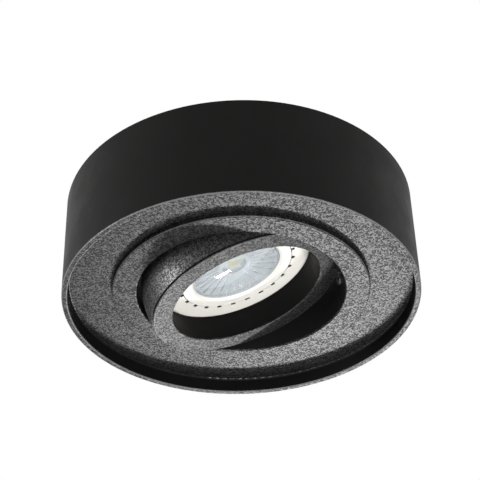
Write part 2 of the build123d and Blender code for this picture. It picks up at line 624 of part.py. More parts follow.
def make_terminal_box_cover():
    """The snap-on cover: lid, skirt inside the box, and the hole that the lamp lead enters by."""
    half = BOX_LENGTH / 2
    cover = block((-half, BOX_INNER_Y, COVER_BOTTOM_Z), (half, BOX_OUTER_Y, COVER_TOP_Z))
    cover = fillet(cover.edges().filter_by(Axis.Z), BOX_CORNER)
    cover = fillet(cover.edges().group_by(Axis.Z)[-1], COVER_ROUND)
    outer = BOX_WALL + COVER_FIT
    inner = outer + COVER_SKIRT_WALL
    low = COVER_BOTTOM_Z - COVER_SKIRT
    skirt = block(
        (-half + outer, BOX_INNER_Y + outer, low),
        (half - outer, BOX_OUTER_Y - outer, COVER_BOTTOM_Z),
    )
    skirt -= block(
        (-half + inner, BOX_INNER_Y + inner, low - 1),
        (half - inner, BOX_OUTER_Y - inner, COVER_BOTTOM_Z + 1),
    )
    cover += skirt
    hole = upright_rod(LEAD_RADIUS + LEAD_FIT, LEAD_ENTRY_X, LEAD_ENTRY_Y, low - 1, COVER_TOP_Z + 1)
    return cover - hole


def terminal_y(side):
    """The Y of one pole of the terminal block, for side -1 or 1."""
    return BOX_MIDDLE_Y + side * CLAMP_SPACING / 2


def terminal_screw_places():
    """Plan places of the four terminal screws."""
    half = TERMINAL_SCREW_PITCH / 2
    return [(x, terminal_y(side)) for side in (-1, 1) for x in (-half, half)]


def make_terminal_block():
    """The two-pole insulating block, bored for its clamps and open above each screw."""
    body = block(
        (-BLOCK_LENGTH / 2, BOX_MIDDLE_Y - BLOCK_WIDTH / 2, BLOCK_BOTTOM_Z),
        (BLOCK_LENGTH / 2, BOX_MIDDLE_Y + BLOCK_WIDTH / 2, BLOCK_TOP_Z),
    )
    body = fillet(body.edges().filter_by(Axis.X), BLOCK_ROUND)
    for side in (-1, 1):
        axis = Pos(0, terminal_y(side), TERMINAL_Z) * Rot(0, 90, 0)
        body -= axis * Cylinder(CLAMP_RADIUS, BLOCK_LENGTH + 2)
    for x, y in terminal_screw_places():
        well = TERMINAL_SCREW_RADIUS + TERMINAL_WELL_GAP
        body -= upright_rod(well, x, y, TERMINAL_Z, BLOCK_TOP_Z + 1)
    return body


def make_terminal_clamps():
    """The two brass clamp tubes."""
    clamps = []
    for side in (-1, 1):
        axis = Pos(0, terminal_y(side), TERMINAL_Z) * Rot(0, 90, 0)
        clamp = axis * Cylinder(CLAMP_RADIUS - CLAMP_FIT, BLOCK_LENGTH - 2 * CLAMP_INSET)
        clamp -= axis * Cylinder(CLAMP_BORE, BLOCK_LENGTH)
        for x in (-TERMINAL_SCREW_PITCH / 2, TERMINAL_SCREW_PITCH / 2):
            tapped = TERMINAL_SCREW_RADIUS + CLAMP_FIT
            clamp -= upright_rod(tapped, x, terminal_y(side), TERMINAL_Z, TERMINAL_Z + CLAMP_RADIUS + 1)
        clamps.append(clamp)
    return clamps


def driver_slot(x, y, top, radius):
    """The straight slot across a screw head's top."""
    low = (x - radius - 1, y - SLOT_WIDTH / 2, top - SLOT_DEPTH)
    return block(low, (x + radius + 1, y + SLOT_WIDTH / 2, top + 1))


def make_terminal_screws():
    """The four clamp screws, each with a driver slot."""
    top = BLOCK_TOP_Z - TERMINAL_SCREW_SUNK
    screws = []
    for x, y in terminal_screw_places():
        tip = TERMINAL_Z + CORE_RADIUS + TERMINAL_SCREW_TIP_GAP
        screw = upright_rod(TERMINAL_SCREW_RADIUS, x, y, tip, top)
        screws.append(screw - driver_slot(x, y, top, TERMINAL_SCREW_RADIUS))
    return screws


def make_cord_clamp():
    """The bar that grips the mains cable behind its inlet."""
    low = BAR_BOTTOM_Z + PIECE_GAP
    reach = BOX_DEPTH / 2 - BOX_WALL - BAR_WALL_GAP
    bar = block(
        (BAR_X - BAR_WIDTH / 2, BOX_MIDDLE_Y - reach, low),
        (BAR_X + BAR_WIDTH / 2, BOX_MIDDLE_Y + reach, BAR_TOP_Z),
    )
    bar = fillet(bar.edges().filter_by(Axis.Z), BAR_END_ROUND)
    for y in bar_screw_places():
        bar -= upright_rod(BAR_SCREW_RADIUS + BAR_SCREW_FIT, BAR_X, y, low - 1, BAR_TOP_Z + 1)
    return bar


def make_cord_clamp_screws():
    """The cord clamp's two pan head screws."""
    seat = BAR_TOP_Z + PIECE_GAP
    top = seat + BAR_HEAD_HEIGHT
    screws = []
    for y in bar_screw_places():
        screw = upright_rod(BAR_SCREW_RADIUS - PIECE_GAP, BAR_X, y, BAR_BOTTOM_Z - BAR_SCREW_BITE, top)
        screw += upright_rod(BAR_HEAD_RADIUS, BAR_X, y, seat, top)
        screws.append(screw - driver_slot(BAR_X, y, top, BAR_HEAD_RADIUS))
    return screws


def lead_route():
    """The lamp lead's points: out of the gland, up over the neck, down through the cover."""
    x, y, z = tilted_point(0, GLAND_END, GLAND_HEIGHT)
    end_x, end_y = LEAD_ENTRY_X, LEAD_ENTRY_Y
    return [
        (x, y - LEAD_IN_GLAND, z),
        (x, y + 2.2, z),
        (x + 1.8, y + 6.8, z + 2.4),
        (x + 6.7, y + 10.1, z + 6.0),
        (end_x - 3.7, end_y - 4.4, z + 6.8),
        (end_x - 1.4, end_y - 1.6, z + 4.6),
        (end_x, end_y, z + 0.9),
        (end_x, end_y + 0.02, COVER_BOTTOM_Z - LEAD_BELOW_LID),
    ]


def make_lamp_lead():
    """The sheathed two-core lead from the module to the terminal box."""
    return tube("lamp_lead", lead_route(), LEAD_RADIUS)


def make_core(name, side):
    """One insulated core from the end of the lead's sheath into its pole of the terminal block."""
    top = COVER_BOTTOM_Z - LEAD_BELOW_LID - PIECE_GAP
    y = LEAD_ENTRY_Y + side * (CORE_RADIUS + 0.05)
    points = [
        (LEAD_ENTRY_X, y, top),
        (LEAD_ENTRY_X, y, top - 2.6),
        (LEAD_ENTRY_X - 1.2, terminal_y(side) - side * 0.4, TERMINAL_Z + 1.4),
        (BLOCK_LENGTH / 2 + 0.6, terminal_y(side), TERMINAL_Z),
        (BLOCK_LENGTH / 2 - 1.2, terminal_y(side), TERMINAL_Z + 0.01),
    ]
    return tube(name, points, CORE_RADIUS)


# ------------------------------------------------------------------ lamp head, built upright
def make_lamp_ring():
    """The hollow cast ring: flat face, shadow groove, ball side, lamp seat, snap groove, pivot bosses."""
    groove_front = LIP_THICKNESS - PIVOT_TO_FACE
    groove_back = groove_front + SHADOW_GROOVE_WIDTH
    groove_radius = RING_FACE_RADIUS - SHADOW_GROOVE_DEPTH
    face = -PIVOT_TO_FACE
    outline = Polyline(
        (ball_at(RING_BACK), RING_BACK), (SEAT_RADIUS, RING_BACK), (SEAT_RADIUS, LAMP_FRONT),
        (RING_BORE_RADIUS, LAMP_FRONT), (RING_BORE_RADIUS, face), (RING_FACE_RADIUS, face),
        (RING_FACE_RADIUS, groove_front), (groove_radius, groove_front), (groove_radius, groove_back),
        (ball_at(groove_back), groove_back),
    )
    side = ThreePointArc(
        (ball_at(groove_back), groove_back), (BALL_RADIUS, 0), (ball_at(RING_BACK), RING_BACK)
    )
    ring = revolve(Plane.XZ * make_face([outline, side]), Axis.Z)
    lip = circles(ring, RING_FACE_RADIUS, face) + circles(ring, RING_BORE_RADIUS, face)
    ring = fillet(lip, LIP_ROUND)
    pocket_out = ball_at(RING_BACK) - RING_SKIN
    pocket_in = SEAT_RADIUS + RING_SLEEVE
    pocket = disc(pocket_out, face + POCKET_FLOOR, RING_BACK + 1, pocket_in)
    half = PIVOT_BOSS_WIDTH / 2
    pocket -= block((-half, -BALL_RADIUS, face), (half, BALL_RADIUS, RING_BACK + 2))
    ring -= pocket
    snap = disc(snap_radius() + SNAP_WIRE_RADIUS + SNAP_CLEARANCE, BEZEL_BACK + PIECE_GAP,
                BEZEL_BACK + 2 * (SNAP_WIRE_RADIUS + SNAP_CLEARANCE), SEAT_RADIUS - 1)
    ring -= snap
    for direction in (-1, 1):
        far = direction * (BALL_RADIUS + 2)
        near = direction * PAD_PLANE
        front = face + LIP_THICKNESS + PIVOT_PAD_BEHIND_LIP
        ring -= block(
            (-PIVOT_PAD_LENGTH / 2, min(near, far), front),
            (PIVOT_PAD_LENGTH / 2, max(near, far), RING_BACK + 2),
        )
    for angle in (90, 270):
        bottom = PAD_PLANE - PIVOT_DOG_DEPTH - SCREW_HOLE_EXTRA
        ring -= radial_rod(PIVOT_DOG_RADIUS + PIVOT_RUNNING_FIT, bottom, BALL_RADIUS + 1, 0, angle)
    return ring


def snap_radius():
    """Radius of the snap ring's wire centre line."""
    return SEAT_RADIUS + SNAP_IN_GROOVE


def make_snap_ring():
    """The wire ring that keeps the lamp against its shoulder."""
    height = BEZEL_BACK + SNAP_WIRE_RADIUS + SNAP_CLEARANCE
    start = SNAP_GAP_PLACE + SNAP_GAP_ANGLE / 2
    arc = Pos(0, 0, height) * CenterArc((0, 0), snap_radius(), start, 360 - SNAP_GAP_ANGLE)
    section = Plane(origin=arc @ 0, z_dir=arc % 0) * Circle(SNAP_WIRE_RADIUS)
    return sweep(section, arc)


# ------------------------------------------------------------------ lamp module, built upright
def make_bezel():
    """The module's white front: outer wall, flat front with its circle of vents, inner collar."""
    inner = HOLDER_RADIUS + SEAM
    vent_end = inner + VENT_REACH
    front_back = LAMP_FRONT + BEZEL_FRONT_WALL
    bezel = turned(
        (inner, LAMP_FRONT),
        (LAMP_RADIUS, LAMP_FRONT),
        (LAMP_RADIUS, BEZEL_BACK),
        (LAMP_RADIUS - BEZEL_WALL, BEZEL_BACK),
        (LAMP_RADIUS - BEZEL_WALL, front_back),
        (vent_end + BEZEL_COLLAR, front_back),
        (vent_end + BEZEL_COLLAR, BEZEL_BACK - BEZEL_COLLAR_DROP),
        (vent_end, BEZEL_BACK - BEZEL_COLLAR_DROP),
        (vent_end, front_back),
        (inner, front_back),
    )
    bezel = fillet(circles(bezel, LAMP_RADIUS, LAMP_FRONT), BEZEL_ROUND)
    for index in range(VENT_COUNT):
        vent = block(
            (inner - 1, -VENT_WIDTH / 2, LAMP_FRONT - 1),
            (vent_end, VENT_WIDTH / 2, front_back + 1),
        )
        bezel -= Rot(0, 0, (index + 0.5) * 360 / VENT_COUNT) * vent
    return bezel


def make_lens_holder():
    """The white ring inside the vents: flat face, funnel to the lens, collar to the board, three lugs."""
    front_back = LAMP_FRONT + BEZEL_FRONT_WALL
    holder = turned(
        (HOLDER_MOUTH_RADIUS, LAMP_FRONT),
        (HOLDER_RADIUS, LAMP_FRONT),
        (HOLDER_RADIUS, front_back),
        (COLLAR_OUTER, front_back + HOLDER_BACK_SLOPE),
        (COLLAR_OUTER, BOARD_FRONT - PIECE_GAP),
        (COLLAR_INNER, BOARD_FRONT - PIECE_GAP),
        (COLLAR_INNER, LENS_FRONT),
        (LENS_APERTURE_RADIUS, LENS_FRONT - 2 * PIECE_GAP),
    )
    lug_start = front_back + PIECE_GAP
    lug_end = lug_start + HOLDER_LUG_THICKNESS
    side = HOLDER_LUG_WIDTH / 2
    reach = HOLDER_RADIUS + SEAM + VENT_REACH - MODULE_FIT
    start = COLLAR_OUTER - COLLAR_WALL / 2
    for index in range(HOLDER_LUG_COUNT):
        lug = block((start, -side, lug_start), (reach, side, lug_end))
        lug += block(
            (start, -side, front_back - HOLDER_LUG_ROOT),
            (HOLDER_RADIUS - HOLDER_LUG_ROOT, side, lug_end),
        )
        holder += Rot(0, 0, index * 360 / HOLDER_LUG_COUNT) * lug
    return holder


def make_lens():
    """The clear lens: domed front, flange, collecting body and the pocket over the LED."""
    flange_back = LENS_FRONT + LENS_FLANGE
    pocket_floor = LENS_BACK - LENS_POCKET_DEPTH
    edge = LENS_APERTURE_RADIUS - LENS_DOME_MARGIN
    dome_radius = (edge**2 + LENS_DOME**2) / (2 * LENS_DOME)
    half_angle = asin(edge / dome_radius) / 2
    crest = LENS_FRONT - LENS_DOME
    halfway = (dome_radius * sin(half_angle), crest + dome_radius * (1 - cos(half_angle)))
    lower = Polyline(
        (0, crest),
        (0, pocket_floor),
        (LENS_POCKET_RADIUS / 2, pocket_floor),
        (LENS_POCKET_RADIUS, LENS_BACK),
        (LENS_TAIL_RADIUS, LENS_BACK),
        (LENS_BODY_RADIUS, flange_back),
        (LENS_FLANGE_RADIUS, flange_back),
        (LENS_FLANGE_RADIUS, LENS_FRONT),
        (edge, LENS_FRONT),
    )
    dome = ThreePointArc((edge, LENS_FRONT), halfway, (0, crest))
    return revolve(Plane.XZ * make_face(lower + dome), Axis.Z)


def make_led_board():
    """The round metal-core board under the lens."""
    return disc(BOARD_RADIUS, BOARD_FRONT, BOARD_BACK)


def make_led():
    """The square LED package and its round light-emitting top."""
    half = LED_SIDE / 2
    middle = BOARD_FRONT - LED_HEIGHT / 2
    package = block((-half, -half, middle), (half, half, BOARD_FRONT))
    return package + disc(LED_LIGHT_RADIUS, BOARD_FRONT - LED_HEIGHT, middle)


def pin_hole(low, high):
    """The hole through heat sink and pad that the board's two pins pass by."""
    return upright_rod(PIN_HOLE_RADIUS, PIN_FROM_AXIS, 0, low, high)


def make_thermal_pad():
    """The soft pad between board and heat sink."""
    return disc(PAD_RADIUS, BOARD_BACK, SINK_FLOOR_FRONT) - pin_hole(BOARD_BACK - 1, SINK_FLOOR_FRONT + 1)


def make_heat_sink():
    """The aluminium cup that the board sits in, with three screw posts on its back."""
    sink = disc(SINK_RADIUS, SINK_FLOOR_FRONT, SINK_FLOOR_BACK)
    sink += disc(SINK_RADIUS, BOARD_FRONT + MODULE_FIT, SINK_FLOOR_FRONT, SINK_BORE)
    sink -= pin_hole(SINK_FLOOR_FRONT - 1, SINK_FLOOR_BACK + 1)
    for angle in module_screw_angles():
        root = SINK_FLOOR_BACK - SINK_FLOOR / 2
        top = SHELL_INNER_BACK - PIECE_GAP
        post = upright_rod(POST_RADIUS, MODULE_SCREW_CIRCLE, 0, root, top)
        post -= upright_rod(MODULE_SCREW_RADIUS, MODULE_SCREW_CIRCLE, 0, SINK_FLOOR_BACK, top + 1)
        sink += Rot(0, 0, angle) * post
    return sink


def module_screw_angles():
    """Angles of the module's screws."""
    return [MODULE_SCREW_TURN + index * 360 / MODULE_SCREW_COUNT for index in range(MODULE_SCREW_COUNT)]


def make_board_pins():
    """The two pins that carry the current from the driver board to the LED board."""
    pins = []
    for side in (-1, 1):
        pins.append(upright_rod(PIN_RADIUS, PIN_FROM_AXIS, side * PIN_PITCH / 2, BOARD_BACK, DRIVER_FRONT))
    return pins


def make_driver_board():
    """The driver's board, notched round the heat sink's posts."""
    board = disc(DRIVER_BOARD_RADIUS, DRIVER_FRONT, DRIVER_BACK)
    gap = POST_RADIUS + POST_GAP
    for angle in module_screw_angles():
        notch = upright_rod(gap, MODULE_SCREW_CIRCLE, 0, DRIVER_FRONT - 1, DRIVER_BACK + 1)
        notch += block(
            (MODULE_SCREW_CIRCLE, -gap, DRIVER_FRONT - 1),
            (DRIVER_BOARD_RADIUS + 1, gap, DRIVER_BACK + 1),
        )
        board -= Rot(0, 0, angle) * notch
    return board


def post_edge():
    """How near the posts on the -X and +X sides come to the lamp's axis along X, with room to spare."""
    return MODULE_SCREW_CIRCLE * cos(radians(MODULE_SCREW_TURN)) - POST_RADIUS - DRIVER_PART_GAP


def make_driver_choke():
    """The driver's flat choke, beside the controller and in front of the post on the -Y side."""
    right = post_edge() - CONTROLLER_WIDTH - CHOKE_TO_CONTROLLER
    start = CHOKE_TO_POST + POST_RADIUS - MODULE_SCREW_CIRCLE
    low = (right - CHOKE_WIDTH, start, DRIVER_BACK + PIECE_GAP)
    choke = block(low, (right, CHOKE_END, SHELL_INNER_BACK - DRIVER_PART_GAP))
    return fillet(choke.edges().filter_by(Axis.Z), CHOKE_ROUND)


def make_driver_capacitor():
    """The driver's flat film capacitor."""
    low = (-post_edge(), CAPACITOR_START, DRIVER_BACK + PIECE_GAP)
    end = (low[0] + CAPACITOR_WIDTH, CAPACITOR_START + CAPACITOR_LENGTH, SHELL_INNER_BACK - DRIVER_PART_GAP)
    return fillet(block(low, end).edges(), CAPACITOR_ROUND)


def make_driver_chips():
    """The rectifier beside the capacitor and the controller at the post on the +X side."""
    low = DRIVER_BACK + PIECE_GAP
    left = CAPACITOR_WIDTH + RECTIFIER_TO_CAPACITOR - post_edge()
    rectifier = block(
        (left, RECTIFIER_START, low),
        (left + RECTIFIER_WIDTH, RECTIFIER_START + RECTIFIER_LENGTH, low + RECTIFIER_HEIGHT),
    )
    controller = block(
        (post_edge() - CONTROLLER_WIDTH, CONTROLLER_END - CONTROLLER_LENGTH, low),
        (post_edge(), CONTROLLER_END, low + CONTROLLER_HEIGHT),
    )
    return [rectifier, controller]


def make_lead_tail(name, side):
    """One of the lead's two cores between the gland and the driver board."""
    x = side * (TAIL_RADIUS + 0.2)
    start = GLAND_END - LEAD_IN_GLAND - PIECE_GAP
    points = [
        (x, start, GLAND_HEIGHT),
        (x, start - 2.6, GLAND_HEIGHT),
        (x * 1.6, start - 4.9, DRIVER_BACK + 1.4),
        (x * 2.4, start - 7.0, DRIVER_BACK + TAIL_RADIUS + PIECE_GAP),
    ]
    return tube(name, points, TAIL_RADIUS)


def make_rear_shell():
    """The white rear shell: spigot in the bezel, vented taper, gland seat, flat back with screw seats."""
    front = BEZEL_BACK + PIECE_GAP
    spigot = SHELL_FRONT_RADIUS - SPIGOT_GAP
    shell = turned(
        (spigot, front - SPIGOT_LENGTH),
        (spigot, front),
        (SHELL_FRONT_RADIUS, front),
        (SHELL_REAR_RADIUS, SHELL_BACK),
        (0, SHELL_BACK),
        (0, SHELL_INNER_BACK),
        (shell_radius(SHELL_INNER_BACK) - SHELL_WALL, SHELL_INNER_BACK),
        (spigot - SHELL_WALL, front),
        (spigot - SHELL_WALL, front - SPIGOT_LENGTH),
    )
    shell = fillet(circles(shell, SHELL_REAR_RADIUS, SHELL_BACK), SHELL_ROUND)
    middle = (BEZEL_BACK + SHELL_BACK) / 2
    step = 360 / SHELL_VENTS
    for index in range(SHELL_VENTS):
        angle = index * step
        if abs(angle - 90) < step * 1.2:
            continue
        vent = block(
            (SINK_RADIUS, -SHELL_VENT_WIDTH / 2, middle - SHELL_VENT_LENGTH / 2),
            (LAMP_RADIUS, SHELL_VENT_WIDTH / 2, middle + SHELL_VENT_LENGTH / 2),
        )
        shell -= Rot(0, 0, angle) * vent
    shell += radial_rod(GLAND_RADIUS + SHELL_WALL, gland_start(), GLAND_SEAT, GLAND_HEIGHT, 90)
    for angle in module_screw_angles():
        head_seat = SHELL_BACK - MODULE_SCREW_HEAD_HEIGHT
        wide = MODULE_SCREW_HEAD + MODULE_FIT
        narrow = MODULE_SCREW_RADIUS + MODULE_FIT
        seat = upright_rod(wide, MODULE_SCREW_CIRCLE, 0, head_seat, SHELL_BACK + 1)
        seat += upright_rod(narrow, MODULE_SCREW_CIRCLE, 0, head_seat - 2, SHELL_BACK)
        shell -= Rot(0, 0, angle) * seat
    return shell - radial_rod(GLAND_RADIUS, gland_start() - 1, LAMP_RADIUS, GLAND_HEIGHT, 90)


def gland_start():
    """Distance from the lamp's axis to the gland's inner end, just inside the rear shell's wall."""
    return shell_radius(GLAND_HEIGHT) - SHELL_WALL - MODULE_FIT


def make_lead_gland():
    """The rubber gland in the rear shell's side that the lamp lead leaves by."""
    seat = GLAND_SEAT + PIECE_GAP
    gland = radial_rod(GLAND_RADIUS - PIECE_GAP, gland_start(), GLAND_END, GLAND_HEIGHT, 90)
    collar = GLAND_RADIUS + GLAND_COLLAR
    gland += radial_rod(collar, seat, seat + GLAND_COLLAR_THICKNESS, GLAND_HEIGHT, 90)
    return gland - radial_rod(LEAD_RADIUS + LEAD_FIT, gland_start() - 1, GLAND_END + 1, GLAND_HEIGHT, 90)


def make_module_screws():
    """The three screws through the rear shell into the heat sink's posts."""
    seat = SHELL_BACK - MODULE_SCREW_HEAD_HEIGHT + PIECE_GAP
    top = SHELL_BACK - MODULE_FIT
    middle = MODULE_SCREW_CIRCLE
    long = CROSS_LENGTH / 2
    narrow = CROSS_WIDTH / 2
    bottom = top - SLOT_DEPTH
    screws = []
    for angle in module_screw_angles():
        screw = upright_rod(MODULE_SCREW_RADIUS - PIECE_GAP, middle, 0, seat - MODULE_SCREW_BITE, top)
        screw += upright_rod(MODULE_SCREW_HEAD, middle, 0, seat, top)
        cross = block((middle - long, -narrow, bottom), (middle + long, narrow, top + 1))
        cross += block((middle - narrow, -long, bottom), (middle + narrow, long, top + 1))
        screws.append(Rot(0, 0, angle) * (screw - cross))
    return screws


# ------------------------------------------------------------------ write one file per node
HOUSING = {
    "can": make_can,
    "mounting_plate": make_mounting_plate,
    "set_screws": make_set_screws,
}
TRIM = {
    "trim_ring": make_trim_ring,
    "pivot_screws": make_pivot_screws,
    "friction_washers": make_friction_washers,
    "leaf_springs": make_leaf_springs,
    "spring_rivets": make_spring_rivets,
    "terminal_box_base": make_terminal_box_base,
    "terminal_box_cover": make_terminal_box_cover,
    "terminal_block": make_terminal_block,
    "terminal_clamps": make_terminal_clamps,
    "terminal_screws": make_terminal_screws,
    "cord_clamp": make_cord_clamp,
    "cord_clamp_screws": make_cord_clamp_screws,
    "lamp_lead": make_lamp_lead,
    "live_core": lambda: make_core("live_core", -1),
    "neutral_core": lambda: make_core("neutral_core", 1),
}
LAMP_HEAD = {
    "lamp_ring": make_lamp_ring,
    "snap_ring": make_snap_ring,
    "module_bezel": make_bezel,
    "lens_holder": make_lens_holder,
    "lens": make_lens,
    "led_board": make_led_board,
    "led": make_led,
    "thermal_pad": make_thermal_pad,
    "heat_sink": make_heat_sink,
    "board_pins": make_board_pins,
    "driver_board": make_driver_board,
    "driver_choke": make_driver_choke,
    "driver_capacitor": make_driver_capacitor,
    "driver_chips": make_driver_chips,
    "live_tail": lambda: make_lead_tail("live_tail", -1),
    "neutral_tail": lambda: make_lead_tail("neutral_tail", 1),
    "rear_shell": make_rear_shell,
    "lead_gland": make_lead_gland,
    "module_screws": make_module_screws,
}


def write(name, shape):
    """Writes one node. A list of solids becomes one file that holds them all."""
    shape = Compound(children=shape) if isinstance(shape, list) else shape
    export_step(shape, f"parts/{name}.step")


def main():
    """Builds every node and writes it to the parts folder."""
    os.makedirs("parts", exist_ok=True)
    for name, maker in {**HOUSING, **TRIM}.items():
        write(name, maker())
    for name, maker in LAMP_HEAD.items():
        made = maker()
        write(name, [tilted(one) for one in made] if isinstance(made, list) else tilted(made))


main()
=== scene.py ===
"""Dresses a surface mounted ceiling spotlight.

It gives each piece its finish, models the pieces that need more detail than their solid has, and sets
up the studio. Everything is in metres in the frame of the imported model: the origin is the centre of
the ceiling plane, +Z points up into the ceiling and the tilt axis lies along Y.
"""

import json
import logging
from collections.abc import Callable
from dataclasses import dataclass
from enum import Enum
from math import asin, atan2, cos, degrees, radians, sin, sqrt

import bpy
from mathutils import Matrix, Vector

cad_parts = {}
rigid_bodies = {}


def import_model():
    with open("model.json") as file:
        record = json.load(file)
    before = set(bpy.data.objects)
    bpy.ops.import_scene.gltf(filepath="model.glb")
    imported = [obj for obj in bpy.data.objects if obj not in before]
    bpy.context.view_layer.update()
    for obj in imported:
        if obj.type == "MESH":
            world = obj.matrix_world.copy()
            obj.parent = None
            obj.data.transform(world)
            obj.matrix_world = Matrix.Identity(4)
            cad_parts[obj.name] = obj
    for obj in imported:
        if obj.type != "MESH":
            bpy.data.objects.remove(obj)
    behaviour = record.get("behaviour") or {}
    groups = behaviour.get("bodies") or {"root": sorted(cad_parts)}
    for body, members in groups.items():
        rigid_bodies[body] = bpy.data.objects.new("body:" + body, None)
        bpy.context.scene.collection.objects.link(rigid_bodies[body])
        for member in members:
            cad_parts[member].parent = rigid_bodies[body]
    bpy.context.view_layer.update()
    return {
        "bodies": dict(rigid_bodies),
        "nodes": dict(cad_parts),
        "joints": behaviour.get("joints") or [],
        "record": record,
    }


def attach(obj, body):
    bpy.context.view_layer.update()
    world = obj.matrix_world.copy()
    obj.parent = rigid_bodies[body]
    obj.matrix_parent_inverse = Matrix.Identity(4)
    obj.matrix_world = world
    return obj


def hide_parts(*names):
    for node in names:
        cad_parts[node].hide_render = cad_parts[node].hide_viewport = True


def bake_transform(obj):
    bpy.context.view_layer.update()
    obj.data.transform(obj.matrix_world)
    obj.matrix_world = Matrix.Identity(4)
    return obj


logging.basicConfig(level=logging.INFO, format="%(message)s")
LOG = logging.getLogger("spotlight")

MM = 0.001
PIVOT_HEIGHT = -25.2 * MM  # tilt axis, from the ceiling plane
REST_TILT = 19.7  # degrees, how far the lamp head is tilted at rest
SMALL_TURN = 48  # sides of a small turned piece
MERGED = 0.00001  # metres, vertices nearer than this become one
SAME = 1e-6  # metres, how near a vertex on a ring is to the ring's radius and height
Colour = tuple[float, float, float]
Point = tuple[float, float, float]


# ---------- node graphs
class Graph:
    """A node tree with short calls that place nodes and link them."""

    def __init__(self, tree: bpy.types.NodeTree) -> None:
        """Starts on an existing tree.

        Args:
            tree: the node tree of a material, world or group.
        """
        self.tree = tree

    def feed(self, node: bpy.types.Node, inputs: dict) -> None:
        """Gives a node its inputs.

        Args:
            node: the node.
            inputs: socket name or index to a value, or to another node's output socket.
        """
        for key, value in inputs.items():
            if isinstance(value, bpy.types.NodeSocket):
                self.tree.links.new(value, node.inputs[key])
            else:
                node.inputs[key].default_value = value

    def add(self, kind: str, inputs: dict | None = None, **settings) -> bpy.types.Node:
        """Adds one node.

        Args:
            kind: the node's type, without its ShaderNode prefix.
            inputs: as feed takes them.
            settings: attributes of the node itself.

        Returns:
            The new node.
        """
        node = self.tree.nodes.new("ShaderNode" + kind)
        for name, value in settings.items():
            setattr(node, name, value)
        self.feed(node, inputs or {})
        return node

    def math(self, operation: str, first, second=0.0) -> bpy.types.NodeSocket:
        """Adds a Math node.

        Args:
            operation: the node's operation, such as MULTIPLY.
            first: number or socket.
            second: number or socket.

        Returns:
            The node's output socket.
        """
        return self.add("Math", {0: first, 1: second}, operation=operation).outputs[0]

    def span(self, value, low: float, high: float, to_low: float, to_high: float) -> bpy.types.NodeSocket:
        """Maps a value from one span to another, smoothly and clamped.

        Args:
            value: socket to map.
            low: start of the incoming span.
            high: end of the incoming span.
            to_low: result at its start.
            to_high: result at its end.

        Returns:
            The mapped value's socket.
        """
        inputs = {"Value": value, "From Min": low, "From Max": high, "To Min": to_low, "To Max": to_high}
        return self.add("MapRange", inputs, interpolation_type="SMOOTHSTEP").outputs["Result"]

    def blend(self, share, first, second) -> bpy.types.NodeSocket:
        """Mixes two colours.

        Args:
            share: how much of the second colour, number or socket.
            first: colour or socket.
            second: colour or socket.

        Returns:
            The mixed colour's socket.
        """
        return self.add("Mix", {0: share, 6: first, 7: second}, data_type="RGBA").outputs[2]

    def turned(self, place: bpy.types.NodeSocket) -> tuple:
        """A place's distance from the Z axis and its height, as sockets."""
        parts = self.add("SeparateXYZ", {0: place}).outputs
        flat = self.add("CombineXYZ", {"X": parts[0], "Y": parts[1]}).outputs[0]
        return self.add("VectorMath", {0: flat}, operation="LENGTH").outputs["Value"], parts[2]

    def relief(self, height: bpy.types.NodeSocket, depth: float) -> bpy.types.NodeSocket:
        """The normal of a relief, from its height, 0 to 1, and its depth in metres."""
        return self.add("Bump", {"Height": height, "Distance": depth, "Strength": 1.0}).outputs[0]


def rgba(colour: Colour) -> tuple[float, float, float, float]:
    """The colour with full opacity."""
    return (*colour, 1.0)


def scaled(colour: Colour, factor: float) -> Colour:
    """The colour, lighter or darker by a factor."""
    return tuple(min(1.0, channel * factor) for channel in colour)


# ---------- effects that finishes share
class Effect(Enum):
    """The shared effects, each a node group that puts out masks and heights."""

    GRAIN = "powder_grain"
    DRIFT = "tone_drift"
    STREAKS = "drawn_streaks"
    RINGS = "turned_rings"
    ZONE = "round_zone"


